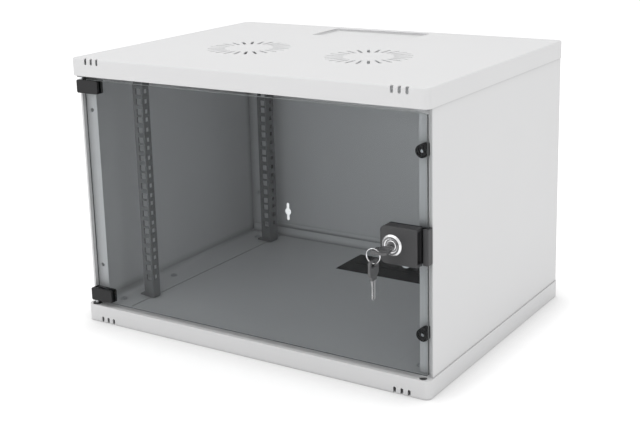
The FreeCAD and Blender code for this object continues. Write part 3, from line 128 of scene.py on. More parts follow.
class CabinetSizes(bpy.types.PropertyGroup):
    """Sizes of the fine pieces."""
    screw_head: bpy.props.FloatProperty(
        name="Screw head", description="Diameter of a pan head",
        default=9.4 * MM, unit="LENGTH")
    screw_head_tall: bpy.props.FloatProperty(
        name="Screw head height", description="Height of a pan head",
        default=2.8 * MM, unit="LENGTH")
    rear_head_tall: bpy.props.FloatProperty(
        name="Rear screw head height", description="Height of a rear panel screw's head",
        default=1.9 * MM, unit="LENGTH")
    shank: bpy.props.FloatProperty(
        name="Shank", description="Diameter of a screw's shank", default=5.0 * MM,
        unit="LENGTH")
    recess_width: bpy.props.FloatProperty(
        name="Recess", description="Width of a cross recess's arm",
        default=1.1 * MM, unit="LENGTH")
    nut_width: bpy.props.FloatProperty(
        name="Nut", description="Nut over its corners", default=9.9 * MM, unit="LENGTH")
    plastic_edge: bpy.props.FloatProperty(
        name="Moulded edge", description="Rounding of the moulded plastic",
        default=1.1 * MM, unit="LENGTH")
    metal_edge: bpy.props.FloatProperty(
        name="Metal edge", description="Rounding of the lock's metal pieces",
        default=0.2 * MM, unit="LENGTH")
    grip_edge: bpy.props.FloatProperty(
        name="Grip edge", description="Rounding of the keys' grips",
        default=0.7 * MM, unit="LENGTH")
    glass_arris: bpy.props.FloatProperty(
        name="Arris", description="Ground edge of the glass", default=0.5 * MM,
        unit="LENGTH")
    bumper_tail: bpy.props.FloatProperty(
        name="Bumper tail", description="Length of a bumper's stem behind its disc",
        default=4.2 * MM, unit="LENGTH")
    bumper_stem: bpy.props.FloatProperty(
        name="Bumper stem", description="Diameter of a bumper's stem", default=6.0 * MM,
        unit="LENGTH")
    ring_turns: bpy.props.FloatProperty(
        name="Ring turns", description="Turns of the split ring", default=1.94, min=1.2)
    groove_width: bpy.props.FloatProperty(
        name="Key groove", description="Milled groove along a key", default=1.8 * MM,
        unit="LENGTH")
    tooth_depth: bpy.props.FloatProperty(
        name="Key cut", description="Deepest cut of a key", default=1.5 * MM,
        unit="LENGTH")


def colour(name, description, default):
    """One colour property."""
    return bpy.props.FloatVectorProperty(
        name=name, description=description, subtype="COLOR", default=default, min=0, max=1)


class CabinetColours(bpy.types.PropertyGroup):
    """Colours of the finishes."""
    paint: colour("Paint", "Powder coat of the shell", (0.79, 0.79, 0.795))
    rail: colour("Rails", "Satin grey of the rack rails", (0.185, 0.188, 0.192))
    glass: colour("Glass", "Tint of the door glass", (0.675, 0.695, 0.705))
    # painted shade and painted light: the same ground edge is dark at the sides and light on
    # top, for light from above
    glass_edge_painted_shade: colour("Glass edge", "Ground edge of the glass", (0.05, 0.055, 0.055))
    glass_top_painted_light: colour("Glass top", "Top edge, lit from above", (0.62, 0.65, 0.65))
    plastic: colour("Plastic", "Hinge clamps and bushes", (0.014, 0.014, 0.015))
    lock_plastic: colour("Lock plastic", "Lock clamp", (0.04, 0.04, 0.042))
    key_grip: colour("Key grip", "Moulded grips of the keys", (0.085, 0.085, 0.088))
    rubber: colour("Rubber", "Bumpers, pads and cable seal", (0.012, 0.012, 0.013))
    zinc: colour("Zinc", "Plated screws, nuts and cam", (0.60, 0.61, 0.63))
    chrome: colour("Chrome", "Lock barrel, plug and key ring", (0.80, 0.80, 0.81))
    turned: colour("Turned face", "Inner face of the lock", (0.20, 0.20, 0.205))
    nickel: colour("Nickel", "Key blades", (0.38, 0.38, 0.385))
    floor: colour("Floor", "Studio floor", (0.84, 0.84, 0.84))


class CabinetStudio(bpy.types.PropertyGroup):
    """Camera and light."""
    camera_place: bpy.props.FloatVectorProperty(
        name="Camera", description="Where the camera stands", subtype="TRANSLATION",
        default=(0.957, -1.495, 0.683))
    azimuth: bpy.props.FloatProperty(
        name="Azimuth", description="Camera to the right of the front",
        default=math.radians(32.76), subtype="ANGLE")
    elevation: bpy.props.FloatProperty(
        name="Elevation", description="Camera above the horizon",
        default=math.radians(13.42), subtype="ANGLE")
    roll: bpy.props.FloatProperty(
        name="Roll", description="Camera about its own axis",
        default=math.radians(-1.43), subtype="ANGLE")
    lens: bpy.props.FloatProperty(
        name="Lens", description="Focal length in millimetres", default=66.4)
    rise: bpy.props.FloatProperty(
        name="Shift", description="Vertical shift of the lens", default=-0.10)
    sky: bpy.props.FloatProperty(
        name="Room light", description="Even light from all round", default=0.70)
    ceiling: bpy.props.FloatProperty(
        name="Ceiling light", description="Watts of the softbox above", default=11.0,
        subtype="POWER")
    front: bpy.props.FloatProperty(
        name="Front light", description="Watts of the softbox at the left front",
        default=8.4, subtype="POWER")
    side: bpy.props.FloatProperty(
        name="Side light", description="Watts of the softbox at the right", default=6.5,
        subtype="POWER")


# ---------------------------------------------------------------- node trees for materials

def new_material(name, tint, roughness, metallic=0.0):
    """A material with its Principled shader, and the coordinates its patterns read."""
    material = bpy.data.materials.new(name)
    material.use_nodes = True
    nodes = material.node_tree.nodes
    shader = nodes["Principled BSDF"]
    shader.inputs["Base Color"].default_value = (*tint, 1)
    shader.inputs["Roughness"].default_value = roughness
    shader.inputs["Metallic"].default_value = metallic
    place = nodes.new("ShaderNodeTexCoord")
    return material, nodes, material.node_tree.links, shader, place.outputs["Object"]


def noise(nodes, links, place, scale, detail=2.0, stretch=(1, 1, 1)):
    """Noise on object coordinates, stretched along chosen axes."""
    mapping = nodes.new("ShaderNodeMapping")
    mapping.inputs["Scale"].default_value = stretch
    links.new(place, mapping.inputs["Vector"])
    made = nodes.new("ShaderNodeTexNoise")
    made.inputs["Scale"].default_value = scale
    made.inputs["Detail"].default_value = detail
    links.new(mapping.outputs["Vector"], made.inputs["Vector"])
    return made.outputs["Fac"]


def ranged(nodes, links, value, limits):
    """The value taken from one range, the first two limits, to another, the last two."""
    spread = nodes.new("ShaderNodeMapRange")
    for label, number in zip(("From Min", "From Max", "To Min", "To Max"), limits):
        spread.inputs[label].default_value = number
    links.new(value, spread.inputs["Value"])
    return spread.outputs["Result"]


def between(nodes, links, value, low, high):
    """A noise's middle range spread between two numbers."""
    return ranged(nodes, links, value, (*NOISE_RANGE, low, high))


def shaded(nodes, links, value, tint, low, high):
    """The tint made a little darker and lighter by the value."""
    mix = nodes.new("ShaderNodeMix")
    mix.data_type = "RGBA"
    shown = {socket.name: socket for socket in mix.inputs if socket.enabled}
    shown["A"].default_value = (*[c * low for c in tint], 1)
    shown["B"].default_value = (*[min(c * high, 1) for c in tint], 1)
    links.new(value, shown["Factor"])
    return next(s for s in mix.outputs if s.enabled)


def relief(nodes, links, shader, value, strength, depth):
    """Bump the shader's surface by the value."""
    bump = nodes.new("ShaderNodeBump")
    bump.inputs["Strength"].default_value = strength
    bump.inputs["Distance"].default_value = depth
    links.new(value, bump.inputs["Height"])
    links.new(bump.outputs["Normal"], shader.inputs["Normal"])


def painted_shade_in_corners(nodes, links, tone, reach, least):
    """The tone darkened in seams and inner corners as painted shade."""
    shut = nodes.new("ShaderNodeAmbientOcclusion")
    shut.samples = CORNER_SAMPLES
    shut.inputs["Distance"].default_value = reach
    share = ranged(nodes, links, shut.outputs["AO"], (0, 1, least, 1))
    scaled = nodes.new("ShaderNodeVectorMath")
    scaled.operation = "SCALE"
    links.new(tone, scaled.inputs["Vector"])
    links.new(share, scaled.inputs["Scale"])
    return scaled.outputs["Vector"]


def powder_coat(name, tint, roughness, reach=14 * MM):
    """Baked powder: a fine orange peel, a slow drift of tone, and painted shade in inner
    corners.
    """
    material, nodes, links, shader, place = new_material(name, tint, roughness)
    drift = noise(nodes, links, place, scale=7.0, detail=3.0)
    tone = shaded(nodes, links, drift, tint, low=0.985, high=1.01)
    # painted shade: the colour darkens in seams and corners within the reach
    if reach:
        tone = painted_shade_in_corners(nodes, links, tone, reach, least=0.15)
    links.new(tone, shader.inputs["Base Color"])
    peel = noise(nodes, links, place, scale=620.0)
    links.new(between(nodes, links, peel, roughness - 0.05, roughness + 0.06),
              shader.inputs["Roughness"])
    relief(nodes, links, shader, peel, strength=0.05, depth=0.1 * MM)
    return material


def moulded_plastic(name, tint, shine=0.3, roughness=0.42):
    """Spark eroded mould grain."""
    material, nodes, links, shader, place = new_material(name, tint, roughness=0.5)
    shader.inputs["Specular IOR Level"].default_value = shine
    grain = noise(nodes, links, place, scale=1500.0, detail=3.0)
    links.new(shaded(nodes, links, grain, tint, low=0.8, high=1.25),
              shader.inputs["Base Color"])
    links.new(between(nodes, links, grain, roughness, roughness + 0.18),
              shader.inputs["Roughness"])
    relief(nodes, links, shader, grain, strength=0.25, depth=0.1 * MM)
    return material


def soft_rubber(name, tint):
    """Dull rubber with a bloom of dust."""
    material, nodes, links, shader, place = new_material(name, tint, roughness=0.8)
    shader.inputs["Specular IOR Level"].default_value = 0.2
    bloom = noise(nodes, links, place, scale=160.0, detail=5.0)
    links.new(shaded(nodes, links, bloom, tint, low=0.8, high=1.6),
              shader.inputs["Base Color"])
    links.new(between(nodes, links, bloom, low=0.7, high=0.9), shader.inputs["Roughness"])
    skin = noise(nodes, links, place, scale=900.0)
    relief(nodes, links, shader, skin, strength=0.2, depth=0.1 * MM)
    return material


def zinc_plate(name, tint):
    """Zinc plated steel with a cloudy passivation."""
    material, nodes, links, shader, place = new_material(name, tint, roughness=0.35,
                                                         metallic=1.0)
    cloud = noise(nodes, links, place, scale=240.0, detail=4.0)
    links.new(shaded(nodes, links, cloud, tint, low=0.85, high=1.1),
              shader.inputs["Base Color"])
    links.new(between(nodes, links, cloud, low=0.26, high=0.44), shader.inputs["Roughness"])
    crystals = noise(nodes, links, place, scale=1200.0)
    relief(nodes, links, shader, crystals, strength=0.1, depth=0.05 * MM)
    return material


def polished_chrome(name, tint):
    """Bright plating with hairline polishing marks."""
    material, nodes, links, shader, place = new_material(name, tint, roughness=0.12,
                                                         metallic=1.0)
    hairs = noise(nodes, links, place, scale=500.0, detail=3.0, stretch=(1, 12, 1))
    links.new(shaded(nodes, links, hairs, tint, low=0.94, high=1.04),
              shader.inputs["Base Color"])
    links.new(between(nodes, links, hairs, low=0.08, high=0.2), shader.inputs["Roughness"])
    return material


def tinted_glass(name, tint):
    """Clear tinted pane that lets the lamps through."""
    material, nodes, links, shader, _ = new_material(name, tint, roughness=0.0)
    shader.inputs["Transmission Weight"].default_value = 1.0
    shader.inputs["IOR"].default_value = GLASS_IOR
    shader.inputs["Specular Tint"].default_value = GLASS_SHEEN
    clear = nodes.new("ShaderNodeBsdfTransparent")
    clear.inputs["Color"].default_value = (*[math.sqrt(c) for c in tint], 1)
    rays = nodes.new("ShaderNodeLightPath")
    mix = nodes.new("ShaderNodeMixShader")
    links.new(rays.outputs["Is Shadow Ray"], mix.inputs["Fac"])
    links.new(shader.outputs["BSDF"], mix.inputs[1])
    links.new(clear.outputs["BSDF"], mix.inputs[2])
    links.new(mix.outputs["Shader"], nodes["Material Output"].inputs["Surface"])
    return material


def ground_edge(name, tint):
    """Ground and seamed edge of the pane; the tint it is given is painted shade for the side
    edges and painted light for the top edge.
    """
    material, nodes, links, shader, place = new_material(name, tint, roughness=0.35)
    shader.inputs["Specular IOR Level"].default_value = 0.2
    grain = noise(nodes, links, place, scale=900.0, detail=3.0)
    links.new(shaded(nodes, links, grain, tint, low=0.9, high=1.1),
              shader.inputs["Base Color"])
    links.new(between(nodes, links, grain, low=0.3, high=0.45), shader.inputs["Roughness"])
    relief(nodes, links, shader, grain, strength=0.1, depth=0.05 * MM)
    return material


FINISHES = {
    # both coats carry painted shade in their inner corners
    "white_paint": lambda c: powder_coat("Powder coat", c.paint, SHELL_ROUGHNESS),
    "grey_paint": lambda c: powder_coat("Rail coat", c.rail, RAIL_ROUGHNESS),
    "black_plastic": lambda c: moulded_plastic("Moulded plastic", c.plastic),
    "black_rubber": lambda c: soft_rubber("Rubber", c.rubber),
    "zinc_steel": lambda c: zinc_plate("Zinc plate", c.zinc),
    "bright_chrome": lambda c: polished_chrome("Chrome", c.chrome),
    "tinted_glass": lambda c: tinted_glass("Door glass", c.glass),
}
made_finishes = {}


def finish_for(slot):
    """The material of one of the record's slots, made once."""
    if slot not in made_finishes:
        made_finishes[slot] = FINISHES[slot](bpy.context.scene.cabinet_colours)
    return made_finishes[slot]


# ---------------------------------------------------------------- pieces

def add_piece(name, mesh):
    """A new object at the origin that holds the mesh."""
    piece = bpy.data.objects.new(name, mesh)
    bpy.context.scene.collection.objects.link(piece)
    return piece


def stand_in(piece, *nodes):
    """The piece moves with the CAD nodes' body and shows in their place."""
    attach(piece, BODY_OF[nodes[0]])
    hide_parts(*nodes)
    if not piece.data.materials:
        piece.data.materials.append(finish_for(SLOT_OF[nodes[0]]))


def keep(node):
    """A CAD piece whose shape is right gets its finish."""
    for slot in frame["nodes"][node].material_slots:
        slot.material = finish_for(SLOT_OF[node])


def merged_copy(node):
    """Copy of a CAD mesh with its corners merged and its bends shaded smooth."""
    mesh = frame["nodes"][node].data.copy()
    mesh.name = node + "_finished"
    mesh.materials.clear()
    shape = bmesh.new()
    shape.from_mesh(mesh)
    bmesh.ops.remove_doubles(shape, verts=shape.verts, dist=MERGE)
    shape.to_mesh(mesh)
    shape.free()
    mesh.shade_smooth()
    mesh.set_sharp_from_angle(angle=SMOOTH_BEND)
    return mesh


def even_normals(piece):
    """Flat faces stay flat beside smooth bends."""
    modifier = piece.modifiers.new("Even", "WEIGHTED_NORMAL")
    modifier.keep_sharp = True
    modifier.weight = 100


def bevelled(piece, width, segments=2):
    """Round the piece's hard edges."""
    modifier = piece.modifiers.new("Edges", "BEVEL")
    modifier.width = width
    modifier.segments = segments
    modifier.limit_method = "ANGLE"
    modifier.angle_limit = HARD_EDGE


def refine(node, edge=0.0):
    """Show a merged copy of the node with smooth bends and, where asked, rounded edges."""
    piece = add_piece(node + "_finished", merged_copy(node))
    if edge:
        bevelled(piece, edge)
    even_normals(piece)
    stand_in(piece, node)
    return piece


def mesh_of(shape, name):
    """Turn bmesh work into a mesh."""
    bmesh.ops.recalc_face_normals(shape, faces=shape.faces)
    mesh = bpy.data.meshes.new(name)
    shape.to_mesh(mesh)
    shape.free()
    return mesh


def skinned(shape, loops):
    """Join closed loops of equal length one after another, and close both ends."""
    sides = len(loops[0])
    for one, following in zip(loops, loops[1:]):
        for step in range(sides):
            after = (step + 1) % sides
            shape.faces.new((one[step], one[after], following[after], following[step]))
    shape.faces.new(loops[0])
    shape.faces.new(reversed(loops[-1]))


def turned(shape, middle, profile, sides=48):
    """Turn a profile of radius and depth round an axis that points to the front."""
    angles = [2 * math.pi * step / sides for step in range(sides)]
    skinned(shape, [[shape.verts.new((middle.x + radius * math.cos(angle), depth,
                                      middle.z + radius * math.sin(angle)))
                     for angle in angles] for radius, depth in profile])


# ---------------------------------------------------------------- repeated fasteners

def solids_of(node):
    """Lowest and highest corner of every separate solid of a CAD node."""
    shape = bmesh.new()
    shape.from_mesh(frame["nodes"][node].data)
    bmesh.ops.remove_doubles(shape, verts=shape.verts, dist=MERGE)
    left = set(shape.verts)
    found = []
    while left:
        front = [left.pop()]
        members = []
        while front:
            vert = front.pop()
            members.append(vert.co.copy())
            for edge in vert.link_edges:
                other = edge.other_vert(vert)
                if other in left:
                    left.remove(other)
                    front.append(other)
        low = Vector([min(v[i] for v in members) for i in range(3)])
        high = Vector([max(v[i] for v in members) for i in range(3)])
        found.append((low, high))
    shape.free()
    return found


def new_tree(name, numbers):
    """A geometry tree whose inputs are the points, the finish and named numbers."""
    tree = bpy.data.node_groups.new(name, "GeometryNodeTree")
    tree.is_modifier = True
    inputs = [("Geometry", "Geometry"), *[(label, "Float") for label in numbers],
              ("Turn", "Vector"), ("Finish", "Material")]
    for label, kind in inputs:
        tree.interface.new_socket(label, in_out="INPUT", socket_type="NodeSocket" + kind)
    tree.interface.new_socket("Geometry", in_out="OUTPUT",
                              socket_type="NodeSocketGeometry")
    return tree, tree.nodes.new("NodeGroupInput")


def times(tree, socket, factor):
    """A number socket multiplied by a factor."""
    made = tree.nodes.new("ShaderNodeMath")
    made.operation = "MULTIPLY"
    made.inputs[1].default_value = factor
    tree.links.new(socket, made.inputs[0])
    return made.outputs["Value"]


def half_of(tree, socket):
    """Half of a number."""
    return times(tree, socket, 0.5)


def moved_up(tree, geometry, height):
    """Geometry lifted along Z by a number socket."""
    lift = tree.nodes.new("ShaderNodeCombineXYZ")
    tree.links.new(height, lift.inputs["Z"])
    move = tree.nodes.new("GeometryNodeTransform")
    tree.links.new(geometry, move.inputs["Geometry"])
    tree.links.new(lift.outputs["Vector"], move.inputs["Translation"])
    return move.outputs["Geometry"]


def scatter(tree, start, shape):
    """One copy of the shape on each point, turned, spun at random about its own axis,
    made real and given its finish."""
    links = tree.links
    copies = tree.nodes.new("GeometryNodeInstanceOnPoints")
    links.new(start.outputs["Geometry"], copies.inputs["Points"])
    links.new(shape, copies.inputs["Instance"])
    links.new(start.outputs["Turn"], copies.inputs["Rotation"])
    spin = tree.nodes.new("GeometryNodeRotateInstances")
    chance = tree.nodes.new("FunctionNodeRandomValue")
    chance.data_type = "FLOAT_VECTOR"
    chance.inputs["Seed"].default_value = 4
    chance.inputs["Min"].default_value = (0, 0, 0)
    chance.inputs["Max"].default_value = (0, 0, math.pi / 2)
    links.new(copies.outputs["Instances"], spin.inputs["Instances"])
    links.new(chance.outputs["Value"], spin.inputs["Rotation"])
    real = tree.nodes.new("GeometryNodeRealizeInstances")
    links.new(spin.outputs["Instances"], real.inputs["Geometry"])
    paint = tree.nodes.new("GeometryNodeSetMaterial")
    links.new(real.outputs["Geometry"], paint.inputs["Geometry"])
    links.new(start.outputs["Finish"], paint.inputs["Material"])
    end = tree.nodes.new("NodeGroupOutput")
    links.new(paint.outputs["Geometry"], end.inputs["Geometry"])


def cylinder(tree, radius, depth, sides=24):
    """Upright cylinder that stands on its origin."""
    made = tree.nodes.new("GeometryNodeMeshCylinder")
    made.inputs["Vertices"].default_value = sides
    tree.links.new(radius, made.inputs["Radius"])
    tree.links.new(depth, made.inputs["Depth"])
    return moved_up(tree, made.outputs["Mesh"], half_of(tree, depth))


def boolean(tree, operation, first, others):
    """Difference, union or intersection of meshes."""
    made = tree.nodes.new("GeometryNodeMeshBoolean")
    made.operation = operation
    made.solver = "EXACT"
    if operation == "DIFFERENCE":
        tree.links.new(first, made.inputs["Mesh 1"])
    else:
        tree.links.new(first, made.inputs["Mesh 2"])
    for other in others:
        tree.links.new(other, made.inputs["Mesh 2"])
    return made.outputs["Mesh"]


def screw_tree():
    """Pan head with a cross recess, on a plain shank that hangs below it."""
    labels = ["Head Diameter", "Head Height", "Recess Width", "Shank Diameter",
              "Shank Length"]
    tree, start = new_tree("Cross recess screw", labels)
    radius = half_of(tree, start.outputs["Head Diameter"])
    height = start.outputs["Head Height"]
    half = half_of(tree, height)
    side = cylinder(tree, radius, half, HEAD_SIDES)
    dome = tree.nodes.new("GeometryNodeMeshCone")
    dome.inputs["Vertices"].default_value = HEAD_SIDES
    tree.links.new(radius, dome.inputs["Radius Bottom"])
    tree.links.new(times(tree, radius, CROWN), dome.inputs["Radius Top"])
    tree.links.new(half, dome.inputs["Depth"])
    crown = moved_up(tree, dome.outputs["Mesh"], half)
    head = boolean(tree, "UNION", side, [crown])
    arms = []
    for flip in (False, True):
        arm = tree.nodes.new("GeometryNodeMeshCube")
        size = tree.nodes.new("ShaderNodeCombineXYZ")
        tree.links.new(radius, size.inputs["Y" if flip else "X"])
        tree.links.new(start.outputs["Recess Width"], size.inputs["X" if flip else "Y"])
        tree.links.new(height, size.inputs["Z"])
        tree.links.new(size.outputs["Vector"], arm.inputs["Size"])
        arms.append(moved_up(tree, arm.outputs["Mesh"], height))
    recessed = boolean(tree, "DIFFERENCE", head, arms)
    shank = tree.nodes.new("GeometryNodeMeshCylinder")
    shank.inputs["Vertices"].default_value = SHANK_SIDES
    tree.links.new(half_of(tree, start.outputs["Shank Diameter"]), shank.inputs["Radius"])
    tree.links.new(start.outputs["Shank Length"], shank.inputs["Depth"])
    drop = times(tree, start.outputs["Shank Length"], -0.5)
    join = tree.nodes.new("GeometryNodeJoinGeometry")
    tree.links.new(recessed, join.inputs["Geometry"])
    tree.links.new(moved_up(tree, shank.outputs["Mesh"], drop), join.inputs["Geometry"])
    scatter(tree, start, join.outputs["Geometry"])
    return tree


def nut_tree():
    """Hexagon nut with chamfered corners that stands on its origin."""
    tree, start = new_tree("Hexagon nut", ["Width", "Height", "Bore"])
    height = start.outputs["Height"]
    block = cylinder(tree, half_of(tree, start.outputs["Width"]), height, 6)
    cone = tree.nodes.new("GeometryNodeMeshCone")
    cone.inputs["Vertices"].default_value = 32
    for end, share in zip(("Radius Top", "Radius Bottom"), NUT_CHAMFER):
        tree.links.new(times(tree, start.outputs["Width"], share), cone.inputs[end])
    tree.links.new(height, cone.inputs["Depth"])
    chamfered = boolean(tree, "INTERSECT", block, [cone.outputs["Mesh"]])
    bore = cylinder(tree, half_of(tree, start.outputs["Bore"]), height, 20)
    scatter(tree, start, boolean(tree, "DIFFERENCE", chamfered, [bore]))
    return tree


def fastened(node, axis, below, tree, turn, values):
    """Copies on a CAD node's solids, each so far below the solid's end, kept as one mesh."""
    spots = []
    for low, high in solids_of(node):
        place = (low + high) / 2
        place[axis] = high[axis] - below
        spots.append(place)
    points = bpy.data.meshes.new(node + "_points")
    points.from_pydata(spots, [], [])
    holder = add_piece(node + "_holder", points)
    modifier = holder.modifiers.new("Fasteners", "NODES")
    modifier.node_group = tree
    for item in tree.interface.items_tree:
        if item.item_type != "SOCKET" or item.in_out != "INPUT":
            continue
        if item.name in values:
            modifier[item.identifier] = values[item.name]
        elif item.name == "Turn":
            modifier[item.identifier] = turn
        elif item.name == "Finish":
            modifier[item.identifier] = finish_for(SLOT_OF[node])
    depsgraph = bpy.context.evaluated_depsgraph_get()
    mesh = bpy.data.meshes.new_from_object(holder.evaluated_get(depsgraph))
    bpy.data.objects.remove(holder)
    mesh.shade_smooth()
    mesh.set_sharp_from_angle(angle=SMOOTH_MADE)
    stand_in(add_piece(node + "_finished", mesh), node)


# ---------------------------------------------------------------- operators

class CABINET_OT_sheet_metal(bpy.types.Operator):
    """Covers, side panels, rear panel, floor panel and roof entry plate"""
    bl_idname = "cabinet.sheet_metal"
    bl_label = "Sheet metal"

    def execute(self, context):
        paint = context.scene.cabinet_colours.paint
        # one paint whose copies differ only in painted shade in corners: none on the covers and
        # entry plate, 8 mm on the rear and floor panels, the default 14 mm on the side panels
        coats = {"Outer coat": (0, ("top_cover", "bottom_cover", "roof_entry_plate")),
                 "Inner coat": (8 * MM, ("rear_panel", "floor_panel"))}
        for node in ("left_side_panel", "right_side_panel"):
            refine(node)
        for name, (reach, nodes) in coats.items():
            coat = powder_coat(name, paint, SHELL_ROUGHNESS, reach)
            for node in nodes:
                refine(node).data.materials[0] = coat
        return {"FINISHED"}


class CABINET_OT_rails(bpy.types.Operator):
    """Four perforated rack rails"""
    bl_idname = "cabinet.rails"
    bl_label = "Rack rails"

    def execute(self, context):
        for end in ("front", "rear"):
            for side in ("left", "right"):
                refine("{}_{}_rail".format(end, side))
        return {"FINISHED"}


class CABINET_OT_cable_seal(bpy.types.Operator):
    """Rubber sheet in the floor's cable entry"""
    bl_idname = "cabinet.cable_seal"
    bl_label = "Cable seal"

    def execute(self, context):
        refine("floor_entry_seal")
        return {"FINISHED"}


class CABINET_OT_screws(bpy.types.Operator):
    """Screws of the floor flanges, the rails' feet and the rear panel"""
    bl_idname = "cabinet.screws"
    bl_label = "Screws"

    def execute(self, context):
        sizes = context.scene.cabinet_sizes
        tree = screw_tree()
        sets = (("panel_floor_screws", 2, (0, 0, 0), sizes.screw_head_tall),
                ("rail_foot_screws", 2, (0, 0, 0), sizes.screw_head_tall),
                ("rear_panel_screws", 1, (-math.pi / 2, 0, 0), sizes.rear_head_tall))
        for node, axis, turn, tall in sets:
            low, high = solids_of(node)[0]
            fastened(node, axis, tall, tree, turn, {
                "Head Diameter": sizes.screw_head, "Head Height": tall,
                "Recess Width": sizes.recess_width, "Shank Diameter": sizes.shank,
                "Shank Length": high[axis] - low[axis] - tall})
        return {"FINISHED"}


class CABINET_OT_nuts(bpy.types.Operator):
    """Nuts on the roof's studs"""
    bl_idname = "cabinet.nuts"
    bl_label = "Stud nuts"

    def execute(self, context):
        sizes = context.scene.cabinet_sizes
        low, high = solids_of("roof_stud_nuts")[0]
        tall = high.z - low.z
        fastened("roof_stud_nuts", 2, tall, nut_tree(), (0, 0, 0),
                 {"Width": sizes.nut_width, "Height": tall, "Bore": sizes.shank})
        return {"FINISHED"}


class CABINET_OT_door_glass(bpy.types.Operator):
    """Tinted pane with its ground edges, darkened by painted shade at the sides and lightened by
    painted light on top
    """
    bl_idname = "cabinet.door_glass"
    bl_label = "Door glass"

    def execute(self, context):
        piece = add_piece("door_glass_finished", merged_copy("door_glass"))
        bevelled(piece, context.scene.cabinet_sizes.glass_arris, segments=1)
        even_normals(piece)
        colours = context.scene.cabinet_colours
        for material in (finish_for("tinted_glass"),
                         ground_edge("Ground glass edge", colours.glass_edge_painted_shade),
                         ground_edge("Lit glass edge", colours.glass_top_painted_light)):
            piece.data.materials.append(material)
        # edge faces that look up get the painted light, the other edge faces the painted shade
        for face in piece.data.polygons:
            edge = 1 + (face.normal.z > UPWARD)
            face.material_index = 0 if abs(face.normal.y) > FACING else edge
        stand_in(piece, "door_glass")
        return {"FINISHED"}


class CABINET_OT_hinges(bpy.types.Operator):
    """Clamps, pins, bushes, pads and grub screws of the two hinges"""
    bl_idname = "cabinet.hinges"
    bl_label = "Hinges"

    def execute(self, context):
        sizes = context.scene.cabinet_sizes
        for end in ("upper", "lower"):
            refine(end + "_hinge_clamp", sizes.plastic_edge)
            refine(end + "_hinge_pin")
            refine(end + "_pivot_bush")
        keep("hinge_clamp_pads")
        refine("hinge_grub_screws")
        return {"FINISHED"}


class CABINET_OT_lock_clamp(bpy.types.Operator):
    """Moulded lock clamp with its grip bar and gaskets"""
    bl_idname = "cabinet.lock_clamp"
    bl_label = "Lock clamp"

    def execute(self, context):
        sizes = context.scene.cabinet_sizes
        plastic = moulded_plastic("Lock plastic", context.scene.cabinet_colours.lock_plastic,
                                  shine=0.5)
        for node in ("lock_clamp_front", "lock_clamp_rear"):
            refine(node, sizes.plastic_edge).data.materials[0] = plastic
        keep("lock_gaskets")
        return {"FINISHED"}


class CABINET_OT_lock(bpy.types.Operator):
    """Barrel, nut, turning plug, cam and its screw"""
    bl_idname = "cabinet.lock"
    bl_label = "Cam lock"

    def execute(self, context):
        edge = context.scene.cabinet_sizes.metal_edge
        for node in ("lock_nut", "lock_cam", "cam_screw"):
            refine(node, edge)
        dull = zinc_plate("Turned face", context.scene.cabinet_colours.turned)
        low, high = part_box("lock_barrel")
        middle = (low + high) / 2
        rim = (high.x - low.x) / 2 * RIM
        for node in ("lock_barrel", "lock_plug"):
            piece = refine(node, edge)
            piece.data.materials.append(dull)
            for face in piece.data.polygons:
                away = face.center - middle
                inside = math.hypot(away.x, away.z) < rim
                face.material_index = 1 if inside and face.normal.y < -FACING else 0
        return {"FINISHED"}


class CABINET_OT_keys(bpy.types.Operator):
    """Two keys: cut blades and moulded grips"""
    bl_idname = "cabinet.keys"
    bl_label = "Keys"

    def execute(self, context):
        colours = context.scene.cabinet_colours
        nickel = zinc_plate("Nickel", colours.nickel)
        grip = moulded_plastic("Key grip", colours.key_grip, shine=0.7, roughness=0.16)
        for node, along, across, turn in (("key_blade", 1, 0, 1), ("spare_key_blade", 2, 1, -1)):
            piece = add_piece(node + "_finished", self.blade(node, along, across, turn))
            piece.data.materials.append(nickel)
            stand_in(piece, node)
        for node in ("key_head", "spare_key_head"):
            refine(node, context.scene.cabinet_sizes.grip_edge).data.materials[0] = grip
        return {"FINISHED"}

    def blade(self, node, along, across, turn):
        """Blade with cuts in one edge and a groove milled down each side."""
        sizes = bpy.context.scene.cabinet_sizes
        low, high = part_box(node)
        middle = (low + high) / 2
        thick = 3 - along - across
        long, wide, deep = (high[axis] - low[axis] for axis in (along, across, thick))
        groove, sink = wide * GROOVE_START, deep * GROOVE_DEPTH
        tip = wide * TIP
        first, pitch = long * CUTS_START, long * CUTS_SPAN / len(KEY_CUTS)
        stations = [(0.0, 0.0, 0.0)]    # along the blade, and off its two edges
        for number, share in enumerate(KEY_CUTS):
            start = first + number * pitch
            depth = share * sizes.tooth_depth
            stations += [(start, 0.0, 0.0), *[(start + pitch * part, depth, 0.0)
                                              for part in CUT_FLOOR]]
        stations += [(first + pitch * len(KEY_CUTS), 0.0, 0.0), (long - tip, 0.0, 0.0),
                     (long, tip, tip)]
        shape = bmesh.new()
        loops = []
        for reach, cut, other in stations:
            edges = (-wide / 2 + cut, groove, groove + sizes.groove_width, wide / 2 - other)
            upper = [(edges[0], 0.0), (edges[1], 0.0), (edges[1] + sink, sink),
                     (edges[2] - sink, sink), (edges[2], 0.0), (edges[3], 0.0)]
            loop = []
            for side, points in ((1, upper), (-1, reversed(upper))):
                for across_at, sunk in points:
                    spot = middle.copy()
                    spot[along] += turn * (reach - long / 2)
                    spot[across] += across_at
                    spot[thick] += side * (deep / 2 - sunk)
                    loop.append(shape.verts.new(spot))
            loops.append(loop)
        skinned(shape, loops)
        return mesh_of(shape, node + "_finished")


